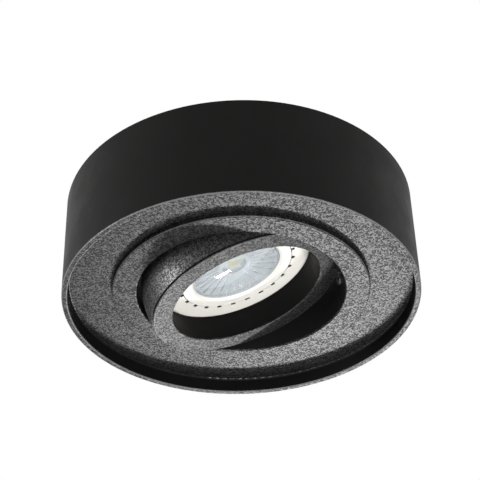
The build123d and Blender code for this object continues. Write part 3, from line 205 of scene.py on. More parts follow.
class Effects:
    """Builds each effect's node group once and hands it to the finishes."""

    def __init__(self) -> None:
        """Builds all the groups."""
        self.groups = {
            Effect.GRAIN: self._grain(),
            Effect.DRIFT: self._drift(),
            Effect.STREAKS: self._streaks(),
            Effect.RINGS: self._rings(),
            Effect.ZONE: self._zone(),
        }

    def place(self, graph: Graph, effect: Effect, inputs: dict | None = None) -> bpy.types.Node:
        """Adds an effect to a material.

        Args:
            graph: the material's graph.
            effect: which effect.
            inputs: its values or sockets, by name.

        Returns:
            The group node, whose outputs are the effect's.
        """
        return graph.add("Group", inputs, node_tree=self.groups[effect])

    @staticmethod
    def _start(effect: Effect, inputs: dict, outputs: tuple) -> tuple:
        """Starts a group.

        Args:
            effect: the effect that it is for.
            inputs: input name to default value.
            outputs: names of the outputs.

        Returns:
            The group's graph, its inputs as sockets, its output node and the object coordinates.
        """
        group = bpy.data.node_groups.new(effect.value, "ShaderNodeTree")
        for name, value in inputs.items():
            socket = group.interface.new_socket(name, in_out="INPUT", socket_type="NodeSocketFloat")
            socket.default_value = value
        for name in outputs:
            group.interface.new_socket(name, in_out="OUTPUT", socket_type="NodeSocketFloat")
        graph = Graph(group)
        start = group.nodes.new("NodeGroupInput").outputs
        end = group.nodes.new("NodeGroupOutput")
        return graph, start, end, graph.add("TexCoord").outputs["Object"]

    def _grain(self) -> bpy.types.NodeTree:
        """The pebbled skin of a textured powder coat.

        Returns:
            The group: Size in metres gives Height and Speckle.
        """
        graph, start, end, place = self._start(Effect.GRAIN, {"Size": 0.0005}, ("Height", "Speckle"))
        scale = graph.math("DIVIDE", 1.0, start["Size"])
        pebbles = graph.add("TexVoronoi", {"Vector": place, "Scale": scale}, feature="F1")
        finer = graph.math("MULTIPLY", scale, 2.1)
        grit = graph.add("TexNoise", {"Vector": place, "Scale": finer, "Detail": 2.0})
        domes = graph.span(pebbles.outputs["Distance"], 0.1, 0.7, 1.0, 0.0)
        coarse = graph.math("MULTIPLY", domes, 0.6)
        fine = graph.math("MULTIPLY", grit.outputs[0], 0.4)
        graph.feed(end, {"Height": graph.math("ADD", coarse, fine)})
        tone = graph.add("SeparateColor", {0: pebbles.outputs["Color"]}).outputs[0]
        graph.feed(end, {"Speckle": graph.span(tone, 0.15, 1.0, 0.0, 1.0)})
        return graph.tree

    def _drift(self) -> bpy.types.NodeTree:
        """Slow changes of tone and gloss over a surface, as from handling and uneven spraying.

        Returns:
            The group: Size in metres gives Mask.
        """
        graph, start, end, place = self._start(Effect.DRIFT, {"Size": 0.02}, ("Mask",))
        scale = graph.math("DIVIDE", 1.0, start["Size"])
        cloud = graph.add("TexNoise", {"Vector": place, "Scale": scale, "Detail": 4.0, "Roughness": 0.6})
        graph.feed(end, {"Mask": graph.span(cloud.outputs[0], 0.3, 0.7, 0.0, 1.0)})
        return graph.tree

    def _streaks(self) -> bpy.types.NodeTree:
        """Fine rolling and drawing marks along X, as on sheet metal and drawn parts.

        Returns:
            The group: Pitch in metres gives Height.
        """
        graph, start, end, place = self._start(Effect.STREAKS, {"Pitch": 0.0003}, ("Height",))
        stretch = graph.add("VectorMath", {0: place, 1: (0.06, 1.0, 1.0)}, operation="MULTIPLY").outputs[0]
        scale = graph.math("DIVIDE", 1.0, start["Pitch"])
        marks = graph.add("TexNoise", {"Vector": stretch, "Scale": scale, "Detail": 3.0, "Roughness": 0.7})
        graph.feed(end, {"Height": marks.outputs[0]})
        return graph.tree

    def _rings(self) -> bpy.types.NodeTree:
        """Fine tool marks that run round the Z axis.

        Returns:
            The group: Pitch in metres gives Height.
        """
        graph, start, end, place = self._start(Effect.RINGS, {"Pitch": 0.0004}, ("Height",))
        radius, height = graph.turned(place)
        line = graph.add("CombineXYZ", {"X": radius, "Y": height}).outputs[0]
        scale = graph.math("DIVIDE", 1.0, start["Pitch"])
        marks = graph.add("TexNoise", {"Vector": line, "Scale": scale, "Detail": 2.0})
        graph.feed(end, {"Height": marks.outputs[0]})
        return graph.tree

    def _zone(self) -> bpy.types.NodeTree:
        """Where a surface lies between two radii and two heights about the Z axis of the place fed to it.

        Returns:
            The group: Place, Inner, Outer, Low and High in metres give Mask, 1 inside the zone.
        """
        inputs = {"Inner": 0.0, "Outer": 1.0, "Low": -1.0, "High": 1.0}
        graph, start, end, _ = self._start(Effect.ZONE, inputs, ("Mask",))
        graph.tree.interface.new_socket("Place", in_out="INPUT", socket_type="NodeSocketVector")
        radius, height = graph.turned(start["Place"])
        mask = graph.math("GREATER_THAN", radius, start["Inner"])
        for test, value, side in (
            ("LESS_THAN", radius, "Outer"), ("GREATER_THAN", height, "Low"), ("LESS_THAN", height, "High"),
        ):
            mask = graph.math("MULTIPLY", mask, graph.math(test, value, start[side]))
        graph.feed(end, {"Mask": mask})
        return graph.tree


# ---------- finishes
def new_material(name: str) -> tuple:
    """Starts a material with one Principled BSDF.

    Args:
        name: the material's name.

    Returns:
        The material, its graph and its shader node.
    """
    material = bpy.data.materials.new(name)
    material.use_nodes = True
    graph = Graph(material.node_tree)
    return material, graph, material.node_tree.nodes["Principled BSDF"]


@dataclass(frozen=True)
class Zone:
    """A zone in a colour of its own, between two radii and two heights about an axis, all in mm."""

    colour: Colour
    inner: float
    outer: float
    low: float
    high: float
    in_head: bool = False
    gloss: float = 0.0

    def mask(self, graph: Graph, effects: Effects) -> bpy.types.NodeSocket:
        """The zone's mask, about the can's axis or about the lamp head's.

        Args:
            graph: the material's graph.
            effects: the shared effects.

        Returns:
            The mask's socket.
        """
        place = graph.add("TexCoord").outputs["Object"]
        if self.in_head:
            turn = (0, radians(-REST_TILT), 0)
            inputs = {"Vector": place, "Location": (0, 0, PIVOT_HEIGHT), "Rotation": turn}
            place = graph.add("Mapping", inputs, vector_type="TEXTURE").outputs[0]
        sides = {
            "Place": place, "Inner": self.inner * MM, "Outer": self.outer * MM,
            "Low": self.low * MM, "High": self.high * MM,
        }
        return effects.place(graph, Effect.ZONE, sides).outputs["Mask"]


@dataclass(frozen=True)
class CoatFinish:
    """A textured powder coat whose grains catch the light, with zones of its own: a smooth side, smooth zones
    of painted shade, and edges of painted highlight.
    """

    name: str
    colour: Colour
    light: float = 1.6
    grain: float = 0.42 * MM
    depth: float = 0.13 * MM
    roughness: float = 0.50
    specular: float = 0.09
    glint: float = 1.0
    glint_low: float = 0.15
    glint_roughness: float = 0.46
    glint_ior: float = 1.5
    drift: float = 18 * MM
    zone_drift: float = 6 * MM
    zones: tuple[Zone, ...] = ()

    def make(self, effects: Effects) -> bpy.types.Material:
        """Builds the material.

        Args:
            effects: the shared effects.

        Returns:
            The material.
        """
        material, graph, shader = new_material(self.name)
        grain = effects.place(graph, Effect.GRAIN, {"Size": self.grain})
        drift = effects.place(graph, Effect.DRIFT, {"Size": self.drift})
        dark = rgba(scaled(self.colour, 1 / self.light))
        colour = graph.blend(grain.outputs["Speckle"], dark, rgba(scaled(self.colour, self.light)))
        rough = graph.span(drift.outputs["Mask"], 0.0, 1.0, self.roughness - 0.04, self.roughness + 0.05)
        height = grain.outputs["Height"]
        glint = graph.span(grain.outputs["Speckle"], 0.0, 1.0, self.glint_low, self.glint)
        for zone in self.zones:
            mask = zone.mask(graph, effects)
            fine = effects.place(graph, Effect.DRIFT, {"Size": self.zone_drift}).outputs["Mask"]
            satin_and_painted_light = graph.blend(fine, rgba(scaled(zone.colour, 0.9)), rgba(zone.colour))
            colour = graph.blend(mask, colour, satin_and_painted_light)
            height = graph.math("MULTIPLY", height, graph.span(mask, 0.0, 1.0, 1.0, 0.06))
            glint = graph.math("MULTIPLY", glint, graph.span(mask, 0.0, 1.0, 1.0, zone.gloss))
        graph.feed(shader, {
            "Base Color": colour, "Roughness": rough, "Specular IOR Level": self.specular,
            "Coat Weight": glint, "Coat Roughness": self.glint_roughness, "Coat IOR": self.glint_ior,
            "Normal": graph.relief(height, self.depth),
        })
        return material


class Marks(Enum):
    """How a metal piece was made, which gives it its marks."""

    ROLLED = Effect.STREAKS
    TURNED = Effect.RINGS
    CAST = Effect.GRAIN


@dataclass(frozen=True)
class MetalFinish:
    """Bare or plated metal with the marks of its making."""

    name: str
    colour: Colour
    roughness: float = 0.35
    marks: Marks = Marks.ROLLED
    pitch: float = 0.3 * MM
    depth: float = 0.012 * MM
    stain: float = 0.82
    drift: float = 9 * MM

    def make(self, effects: Effects) -> bpy.types.Material:
        """Builds the material.

        Args:
            effects: the shared effects.

        Returns:
            The material.
        """
        material, graph, shader = new_material(self.name)
        key = "Size" if self.marks is Marks.CAST else "Pitch"
        marks = effects.place(graph, self.marks.value, {key: self.pitch}).outputs["Height"]
        drift = effects.place(graph, Effect.DRIFT, {"Size": self.drift}).outputs["Mask"]
        colour = graph.blend(drift, rgba(scaled(self.colour, self.stain)), rgba(self.colour))
        both = graph.math("MULTIPLY", marks, graph.span(drift, 0.0, 1.0, 0.7, 1.0))
        rough = graph.span(both, 0.2, 0.7, self.roughness * 0.8, self.roughness * 1.25)
        graph.feed(shader, {
            "Base Color": colour, "Roughness": rough, "Metallic": 1.0,
            "Normal": graph.relief(marks, self.depth),
        })
        return material


@dataclass(frozen=True)
class PlasticFinish:
    """Moulded plastic, rubber or laminate with a fine skin and slow changes of tone."""

    name: str
    colour: Colour
    roughness: float = 0.45
    skin: float = 0.3 * MM
    depth: float = 0.015 * MM
    shade: float = 0.93
    specular: float = 0.5
    sheen: float = 0.0
    drift: float = 7 * MM
    zones: tuple[Zone, ...] = ()

    def make(self, effects: Effects) -> bpy.types.Material:
        """Builds the material.

        Args:
            effects: the shared effects.

        Returns:
            The material.
        """
        material, graph, shader = new_material(self.name)
        skin = effects.place(graph, Effect.GRAIN, {"Size": self.skin})
        drift = effects.place(graph, Effect.DRIFT, {"Size": self.drift}).outputs["Mask"]
        colour = graph.blend(drift, rgba(scaled(self.colour, self.shade)), rgba(self.colour))
        for zone in self.zones:
            colour = graph.blend(zone.mask(graph, effects), colour, rgba(zone.colour))
        rough = graph.span(skin.outputs["Speckle"], 0.0, 1.0, self.roughness + 0.04, self.roughness - 0.04)
        graph.feed(shader, {
            "Base Color": colour, "Roughness": rough, "Specular IOR Level": self.specular,
            "Sheen Weight": self.sheen, "Normal": graph.relief(skin.outputs["Height"], self.depth),
        })
        return material


@dataclass(frozen=True)
class ClearFinish:
    """Clear polished plastic for the lens, whose shadow lets a share of the light through."""

    name: str
    colour: Colour
    roughness: float = 0.03
    ior: float = 1.49
    transmission: float = 0.8
    lets_through: float = 0.30
    drift: float = 3 * MM

    def make(self, effects: Effects) -> bpy.types.Material:
        """Builds the material.

        Args:
            effects: the shared effects.

        Returns:
            The material.
        """
        material, graph, shader = new_material(self.name)
        drift = effects.place(graph, Effect.DRIFT, {"Size": self.drift}).outputs["Mask"]
        rough = graph.span(drift, 0.0, 1.0, self.roughness * 0.6, self.roughness * 1.5)
        colour = graph.blend(drift, rgba(scaled(self.colour, 0.985)), rgba(self.colour))
        shadow = graph.add("LightPath").outputs["Is Shadow Ray"]
        alpha = graph.math("SUBTRACT", 1.0, graph.math("MULTIPLY", shadow, self.lets_through))
        graph.feed(shader, {
            "Base Color": colour, "Roughness": rough, "Alpha": alpha, "IOR": self.ior,
            "Transmission Weight": self.transmission,
        })
        return material


RIM_PAINTED_HIGHLIGHT = (0.13, 0.13, 0.13)  # painted highlight on the can's rounded rim edges, much lighter than the black coat
EDGE_PAINTED_HIGHLIGHT = (0.06, 0.06, 0.06)  # painted highlight on the rounded edges of the trim and of the ring's face

FINISHES = (
    CoatFinish("can_coat", (0.007, 0.007, 0.007), zones=(
        Zone((0.0045, 0.0043, 0.0041), 54.8, 60.0, -33.5, 1.0),
        # painted shade: the recess's inner wall, darker, smooth and without glints
        Zone((0.0045, 0.0045, 0.0045), 52.9, 54.0, -33.6, -28.4),
        # painted highlight on the rim's inner and outer rounded edges
        Zone(RIM_PAINTED_HIGHLIGHT, 53.1, 53.55, -34.1, -33.62, gloss=1.0),
        Zone(RIM_PAINTED_HIGHLIGHT, 54.72, 55.1, -34.1, -33.62, gloss=1.0),
    )),
    CoatFinish("trim_coat", (0.007, 0.007, 0.007), zones=(
        # painted shade: the neck's inner wall loses its grain and glints so that it stays dark
        Zone((0.0100, 0.0100, 0.0100), 31.9, 32.5, -30.3, -15.0),
        # painted highlight on the trim's rounded outer edge
        Zone(EDGE_PAINTED_HIGHLIGHT, 39.5, 39.9, -30.9, -30.45, gloss=1.0),
    )),
    # painted light: the ring's coat is lighter and glints more strongly than the can's and the trim's, as its
    # face is better lit
    CoatFinish("ring_coat", (0.012, 0.012, 0.012), grain=0.38 * MM, glint_ior=1.75, zones=(
        # painted shade: the ring's bore, nearly black, smooth and without glints
        Zone((0.0020, 0.0020, 0.0021), 20.0, 24.9, -5.3, 3.2, True),
        # painted highlight on the rounded edge of the ring's face
        Zone(EDGE_PAINTED_HIGHLIGHT, 30.1, 30.7, -5.7, -5.2, True, 1.0),
    )),
    MetalFinish("plate_zinc", (0.60, 0.61, 0.63), roughness=0.38, pitch=0.25 * MM),
    MetalFinish("screw_black", (0.045, 0.045, 0.05), roughness=0.42, marks=Marks.TURNED, pitch=0.2 * MM),
    PlasticFinish("washer_nylon", (0.80, 0.79, 0.74), roughness=0.5, sheen=0.1),
    MetalFinish("spring_steel", (0.52, 0.53, 0.55), roughness=0.28, pitch=0.15 * MM),
    MetalFinish("rivet_steel", (0.62, 0.62, 0.63), roughness=0.33, marks=Marks.CAST, pitch=0.5 * MM),
    PlasticFinish("box_plastic", (0.78, 0.78, 0.76), roughness=0.5, skin=0.35 * MM, depth=0.03 * MM),
    PlasticFinish("block_plastic", (0.85, 0.84, 0.80), roughness=0.42),
    MetalFinish("clamp_brass", (0.78, 0.60, 0.30), roughness=0.3, pitch=0.2 * MM),
    MetalFinish("screw_zinc", (0.64, 0.65, 0.66), roughness=0.34, marks=Marks.CAST, pitch=0.4 * MM),
    PlasticFinish("lead_sheath", (0.76, 0.76, 0.74), roughness=0.48, skin=0.5 * MM, sheen=0.15),
    PlasticFinish("core_brown", (0.22, 0.09, 0.04), roughness=0.4, skin=0.25 * MM),
    PlasticFinish("core_blue", (0.04, 0.17, 0.50), roughness=0.4, skin=0.25 * MM),
    PlasticFinish(
        "lamp_white", (0.86, 0.84, 0.78), roughness=0.36, skin=0.22 * MM, depth=0.008 * MM, shade=0.965,
        # painted shade: near black inside the vents and along the seam between bezel and holder
        zones=(Zone((0.012, 0.011, 0.010), 17.4, 19.6, 3.25, 8.0, True),),
    ),
    ClearFinish("lens_clear", (0.76, 0.80, 0.835)),
    PlasticFinish("board_white", (0.86, 0.86, 0.84), roughness=0.3),
    PlasticFinish("led_yellow", (0.85, 0.70, 0.22), roughness=0.35, skin=0.15 * MM, shade=0.88),
    PlasticFinish("pad_grey", (0.45, 0.47, 0.50), roughness=0.65, skin=0.4 * MM, depth=0.04 * MM),
    MetalFinish("sink_aluminium", (0.76, 0.77, 0.78), roughness=0.36, marks=Marks.TURNED, pitch=0.35 * MM),
    MetalFinish("pin_tin", (0.72, 0.72, 0.70), roughness=0.3, marks=Marks.CAST),
    PlasticFinish("driver_laminate", (0.07, 0.24, 0.11), roughness=0.38, skin=0.6 * MM, depth=0.02 * MM),
    PlasticFinish("choke_black", (0.05, 0.05, 0.055), roughness=0.55, skin=0.35 * MM, depth=0.03 * MM),
    PlasticFinish("capacitor_red", (0.50, 0.06, 0.045), roughness=0.22, skin=0.8 * MM),
    PlasticFinish("chip_black", (0.035, 0.035, 0.04), roughness=0.5, skin=0.2 * MM),
    PlasticFinish("gland_rubber", (0.05, 0.05, 0.05), roughness=0.62, depth=0.02 * MM, sheen=0.2),
)


class Paintbox:
    """Holds one material per finish and dresses pieces in them."""

    def __init__(self, effects: Effects) -> None:
        """Builds every finish's material."""
        self.materials = {finish.name: finish.make(effects) for finish in FINISHES}

    def dress(self, piece: bpy.types.Object, finish: str) -> None:
        """Gives a piece its finish in its only slot.

        Args:
            piece: the object.
            finish: the finish's name, which is the record's material slot too.
        """
        piece.data.materials.clear()
        piece.data.materials.append(self.materials[finish])

    def dress_nodes(self, frame: dict, names: tuple) -> None:
        """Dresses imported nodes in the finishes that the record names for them.

        Args:
            names: the nodes.
        """
        slots = {part["node"]: part["material_slot"] for part in frame["record"]["subparts"]}
        for name in names:
            piece = frame["nodes"][name]
            self.dress(piece, slots[name])
            LOG.info("dressed %s in %s", name, slots[name])


# ---------- modelling by operators
def deselect_all() -> None:
    """Leaves object mode with nothing selected."""
    if bpy.context.object and bpy.context.object.mode != "OBJECT":
        bpy.ops.object.mode_set(mode="OBJECT")
    bpy.ops.object.select_all(action="DESELECT")


def add_object(name: str, data: bpy.types.ID) -> bpy.types.Object:
    """Makes an object of some data and links it to the scene."""
    thing = bpy.data.objects.new(name, data)
    bpy.context.scene.collection.objects.link(thing)
    return thing


def pick(*pieces: bpy.types.Object) -> None:
    """Selects these pieces alone and makes the first one active."""
    deselect_all()
    for piece in pieces:
        piece.select_set(True)
    bpy.context.view_layer.objects.active = pieces[0]


def keep_place() -> None:
    """Puts the selected piece's place, turn and scale in its mesh."""
    bpy.ops.object.transform_apply(location=True, rotation=True, scale=True)


def settle(piece: bpy.types.Object, name: str, smooth: float = 35.0) -> bpy.types.Object:
    """Closes a piece's mesh, turns its faces outwards, puts its place in its mesh and smooths it.

    Args:
        piece: the object, the only one selected.
        name: its name from now on.
        smooth: degrees, edges sharper than this stay sharp.

    Returns:
        The piece.
    """
    if piece.mode != "EDIT":
        bpy.ops.object.mode_set(mode="EDIT")
    bpy.ops.mesh.select_all(action="SELECT")
    bpy.ops.mesh.remove_doubles(threshold=MERGED)
    bpy.ops.mesh.normals_make_consistent(inside=False)
    bpy.ops.object.mode_set(mode="OBJECT")
    keep_place()
    bpy.ops.object.shade_smooth_by_angle(angle=radians(smooth))
    piece.name = name
    piece.data.name = name
    return piece


def lathe(name: str, profile: tuple, segments: int = 96, smooth: float = 35.0) -> bpy.types.Object:
    """Models a turned piece about Z by extruding a circle from point to point of its outline.

    Args:
        name: the piece's name.
        profile: (radius, height) points in metres. A radius of 0 closes the piece with a pole.
        segments: sides of the circle.
        smooth: degrees, edges sharper than this stay sharp.

    Returns:
        The piece, upright about the Z axis.
    """
    deselect_all()
    first = int(profile[0][0] == 0)  # where the circle is in the outline, 1 after a pole
    radius, height = profile[first]
    bpy.ops.mesh.primitive_circle_add(vertices=segments, radius=radius, location=(0, 0, height))
    piece = bpy.context.object
    bpy.ops.object.mode_set(mode="EDIT")
    bpy.ops.mesh.select_all(action="SELECT")
    if first:
        close_to_pole(profile[0][1] - height)
        select_ring(piece, radius, 0.0)
    for next_radius, next_height in profile[first + 1:]:
        if next_radius == 0:
            close_to_pole(next_height - height)
            break
        bpy.ops.mesh.extrude_edges_move()
        share = next_radius / radius
        bpy.ops.transform.resize(value=(share, share, 1), center_override=(0, 0, height))
        bpy.ops.transform.translate(value=(0, 0, next_height - height))
        radius, height = next_radius, next_height
    return settle(piece, name, smooth)


def close_to_pole(rise: float) -> None:
    """Extrudes the selected ring of edges and merges it on the axis, at a height above the ring."""
    bpy.ops.mesh.extrude_edges_move()
    bpy.ops.transform.translate(value=(0, 0, rise))
    bpy.ops.mesh.merge(type="CENTER")


def select_where(piece: bpy.types.Object, kind: str, wanted: Callable) -> None:
    """Selects the vertices or the faces that a test accepts.

    Args:
        piece: the object, in edit mode.
        kind: VERT or FACE.
        wanted: takes a vertex or a face of the mesh, gives True for one to select.
    """
    bpy.ops.mesh.select_mode(type=kind)
    bpy.ops.mesh.select_all(action="DESELECT")
    bpy.ops.object.mode_set(mode="OBJECT")
    for part in piece.data.vertices if kind == "VERT" else piece.data.polygons:
        part.select = wanted(part)
    bpy.ops.object.mode_set(mode="EDIT")


def select_ring(piece: bpy.types.Object, radius: float, height: float) -> None:
    """Selects the ring of vertices at a radius and a height of the mesh itself, and its edges.

    Args:
        piece: the object, in edit mode.
        radius: distance from Z, in metres.
        height: height in the mesh's own frame, in metres.
    """
    def on_ring(vertex: bpy.types.MeshVertex) -> bool:
        """True for a vertex of the ring."""
        place = vertex.co
        return abs(sqrt(place.x**2 + place.y**2) - radius) < SAME and abs(place.z - height) < SAME

    select_where(piece, "VERT", on_ring)
    bpy.ops.mesh.select_mode(type="EDGE")


def settle_again(piece: bpy.types.Object, name: str, smooth: float = 35.0) -> bpy.types.Object:
    """Settles a piece that was worked on once more, as the only one selected."""
    pick(piece)
    return settle(piece, name, smooth)


def turn_and_lift(piece: bpy.types.Object, turn: Point, lift: Point) -> None:
    """Turns and moves a piece as a whole, with the result kept in its mesh.

    Args:
        piece: the object, at the origin and unturned.
        turn: degrees about X, Y and Z.
        lift: the move after the turn, in metres.
    """
    pick(piece)
    piece.rotation_euler = [radians(angle) for angle in turn]
    piece.location = lift
    keep_place()


def join(pieces: list[bpy.types.Object]) -> bpy.types.Object:
    """Makes one object of several, named as the first."""
    pick(*pieces)
    bpy.ops.object.join()
    return pieces[0]


def copied(piece: bpy.types.Object, move: Point) -> bpy.types.Object:
    """Copies a piece with a mesh of its own, and moves the copy.

    Args:
        piece: the object, at the origin and unturned.
        move: how far, in metres.

    Returns:
        The copy.
    """
    copy = add_object(piece.name, piece.data.copy())
    turn_and_lift(copy, (0, 0, 0), move)
    return copy


def rounded_block(name: str, low: Point, high: Point, edge: float, segments: int = 3) -> bpy.types.Object:
    """Models a box with all its edges rounded.

    Args:
        name: the piece's name.
        low: its lowest corner, in metres.
        high: its highest corner, in metres.
        edge: radius of its edges, in metres.
        segments: steps of the rounding.

    Returns:
        The piece.
    """
    deselect_all()
    middle = [(a + b) / 2 for a, b in zip(low, high)]
    bpy.ops.mesh.primitive_cube_add(size=1, location=middle)
    piece = bpy.context.object
    piece.scale = [b - a for a, b in zip(low, high)]
    keep_place()
    bpy.ops.object.mode_set(mode="EDIT")
    bpy.ops.mesh.select_all(action="SELECT")
    bpy.ops.mesh.bevel(offset=edge, segments=segments, affect="EDGES")
    return settle(piece, name)


def step_in(inset: float, rise: float) -> None:
    """Insets the selected faces, then extrudes the inner ones along Z."""
    bpy.ops.mesh.inset(thickness=inset)
    bpy.ops.mesh.extrude_region_move()
    bpy.ops.transform.translate(value=(0, 0, rise))


def cut_away(piece: bpy.types.Object, tool: bpy.types.Object) -> None:
    """Takes a tool's shape out of a piece and removes the tool.

    Args:
        piece: what is cut.
        tool: the closed shape that is taken away.
    """
    pick(piece)
    modifier = piece.modifiers.new("cut", "BOOLEAN")
    modifier.operation = "DIFFERENCE"
    modifier.object = tool
    modifier.solver = "EXACT"
    bpy.ops.object.modifier_apply(modifier=modifier.name)
    bpy.data.objects.remove(tool)


# ---------- sub-assemblies
@dataclass
class Assembly:
    """What the sub-assemblies share."""

    frame: dict
    paint: Paintbox
    nodes: tuple = ()

    def build(self) -> None:
        """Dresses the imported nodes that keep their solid's shape."""
        self.paint.dress_nodes(self.frame, self.nodes)

    def stand_in(self, piece: bpy.types.Object, body: str, slot: str, node: str) -> None:
        """Dresses a piece modelled here and puts it in a node's place.

        Args:
            piece: the object.
            body: the body that it rides on.
            slot: its finish and material slot.
            node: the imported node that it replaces.
        """
        self.paint.dress(piece, slot)
        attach(piece, body)
        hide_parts(node)
        LOG.info("modelled %s, %d faces", piece.name, len(piece.data.polygons))


@dataclass
class Housing(Assembly):
    """The can with its ceiling plate and set screws."""

    nodes: tuple = ("can", "mounting_plate", "set_screws")


@dataclass
class Trim(Assembly):
    """The swivelling trim with its pivots and springs."""

    nodes: tuple = ("trim_ring", "pivot_screws", "friction_washers", "leaf_springs", "spring_rivets")


@dataclass
class TerminalBox(Assembly):
    """The terminal box on the trim's neck."""

    half_length: float = 15.0 * MM
    near: float = 34.51 * MM
    far: float = 48.51 * MM
    lid_bottom: float = -14.25 * MM
    lid_top: float = -12.85 * MM
    corner: float = 1.0 * MM
    skirt_inset: float = 1.3 * MM
    skirt_wall: float = 1.0 * MM
    skirt_depth: float = 1.4 * MM
    panel_inset: float = 1.5 * MM
    panel_depth: float = 0.35 * MM
    lead_x: float = 10.0 * MM
    lead_bore: float = 1.55 * MM
    collar: float = 2.5 * MM
    collar_rise: float = 0.15 * MM
    ribs: int = 5
    rib_pitch: float = 1.9 * MM
    rib_half: float = 0.4 * MM
    rib_end: float = 3.2 * MM
    rib_root: float = 0.2 * MM
    rib_rise: float = 0.1 * MM
    nodes: tuple = (
        "terminal_box_base", "terminal_block", "terminal_clamps", "terminal_screws",
        "cord_clamp", "cord_clamp_screws", "live_core", "neutral_core",
    )

    def lid(self) -> bpy.types.Object:
        """Models the lid with its sunk panel on top and the hollow skirt below.

        Returns:
            The piece.
        """
        lid = rounded_block(
            "terminal_lid", (-self.half_length, self.near, self.lid_bottom),
            (self.half_length, self.far, self.lid_top), self.panel_depth,
        )
        bpy.ops.object.mode_set(mode="EDIT")
        select_where(lid, "FACE", lambda face: face.normal.z > 0.99)
        step_in(self.panel_inset - self.panel_depth, -self.panel_depth)
        select_where(lid, "FACE", lambda face: face.normal.z < -0.99)
        step_in(self.skirt_inset - self.panel_depth, -self.skirt_depth)
        step_in(self.skirt_wall, self.skirt_depth)
        return settle(lid, "terminal_lid")

    def cover(self) -> bpy.types.Object:
        """Models the cover: the lid, finger ribs on its panel, and the collar round the lead.

        Returns:
            The piece.
        """
        middle = (self.near + self.far) / 2
        lid = self.lid()
        low, high = self.lid_bottom - 2 * self.skirt_depth, self.lid_top + self.corner
        sides = ((0, low), (self.lead_bore, low), (self.lead_bore, high), (0, high))
        drill = lathe("drill", sides, SMALL_TURN)
        turn_and_lift(drill, (0, 0, 0), (self.lead_x, middle, 0))
        cut_away(lid, drill)
        panel = self.lid_top - self.panel_depth
        collar = lathe("collar", (
            (self.lead_bore, panel - self.panel_depth), (self.lead_bore, self.lid_top),
            (self.lead_bore + 0.2 * MM, self.lid_top + self.collar_rise),
            (self.collar - 0.25 * MM, self.lid_top + self.collar_rise),
            (self.collar, self.lid_top - 0.05 * MM), (self.collar, panel - self.panel_depth),
            (self.lead_bore, panel - self.panel_depth),
        ), SMALL_TURN)
        turn_and_lift(collar, (0, 0, 0), (self.lead_x, middle, 0))
        x = -self.half_length + self.panel_inset + self.rib_pitch * 0.9
        low = (x - self.rib_half, self.near + self.rib_end, panel - self.rib_root)
        high = (x + self.rib_half, self.far - self.rib_end, self.lid_top + self.rib_rise)
        rib = rounded_block("rib", low, high, self.rib_root, 2)
        ribs = [rib] + [copied(rib, (self.rib_pitch * index, 0, 0)) for index in range(1, self.ribs)]
        return settle_again(join([lid, collar, *ribs]), "terminal_lid")

    def build(self) -> None:
        """Dresses the box's pieces and models its cover."""
        super().build()
        self.stand_in(self.cover(), "trim", "box_plastic", "terminal_box_cover")


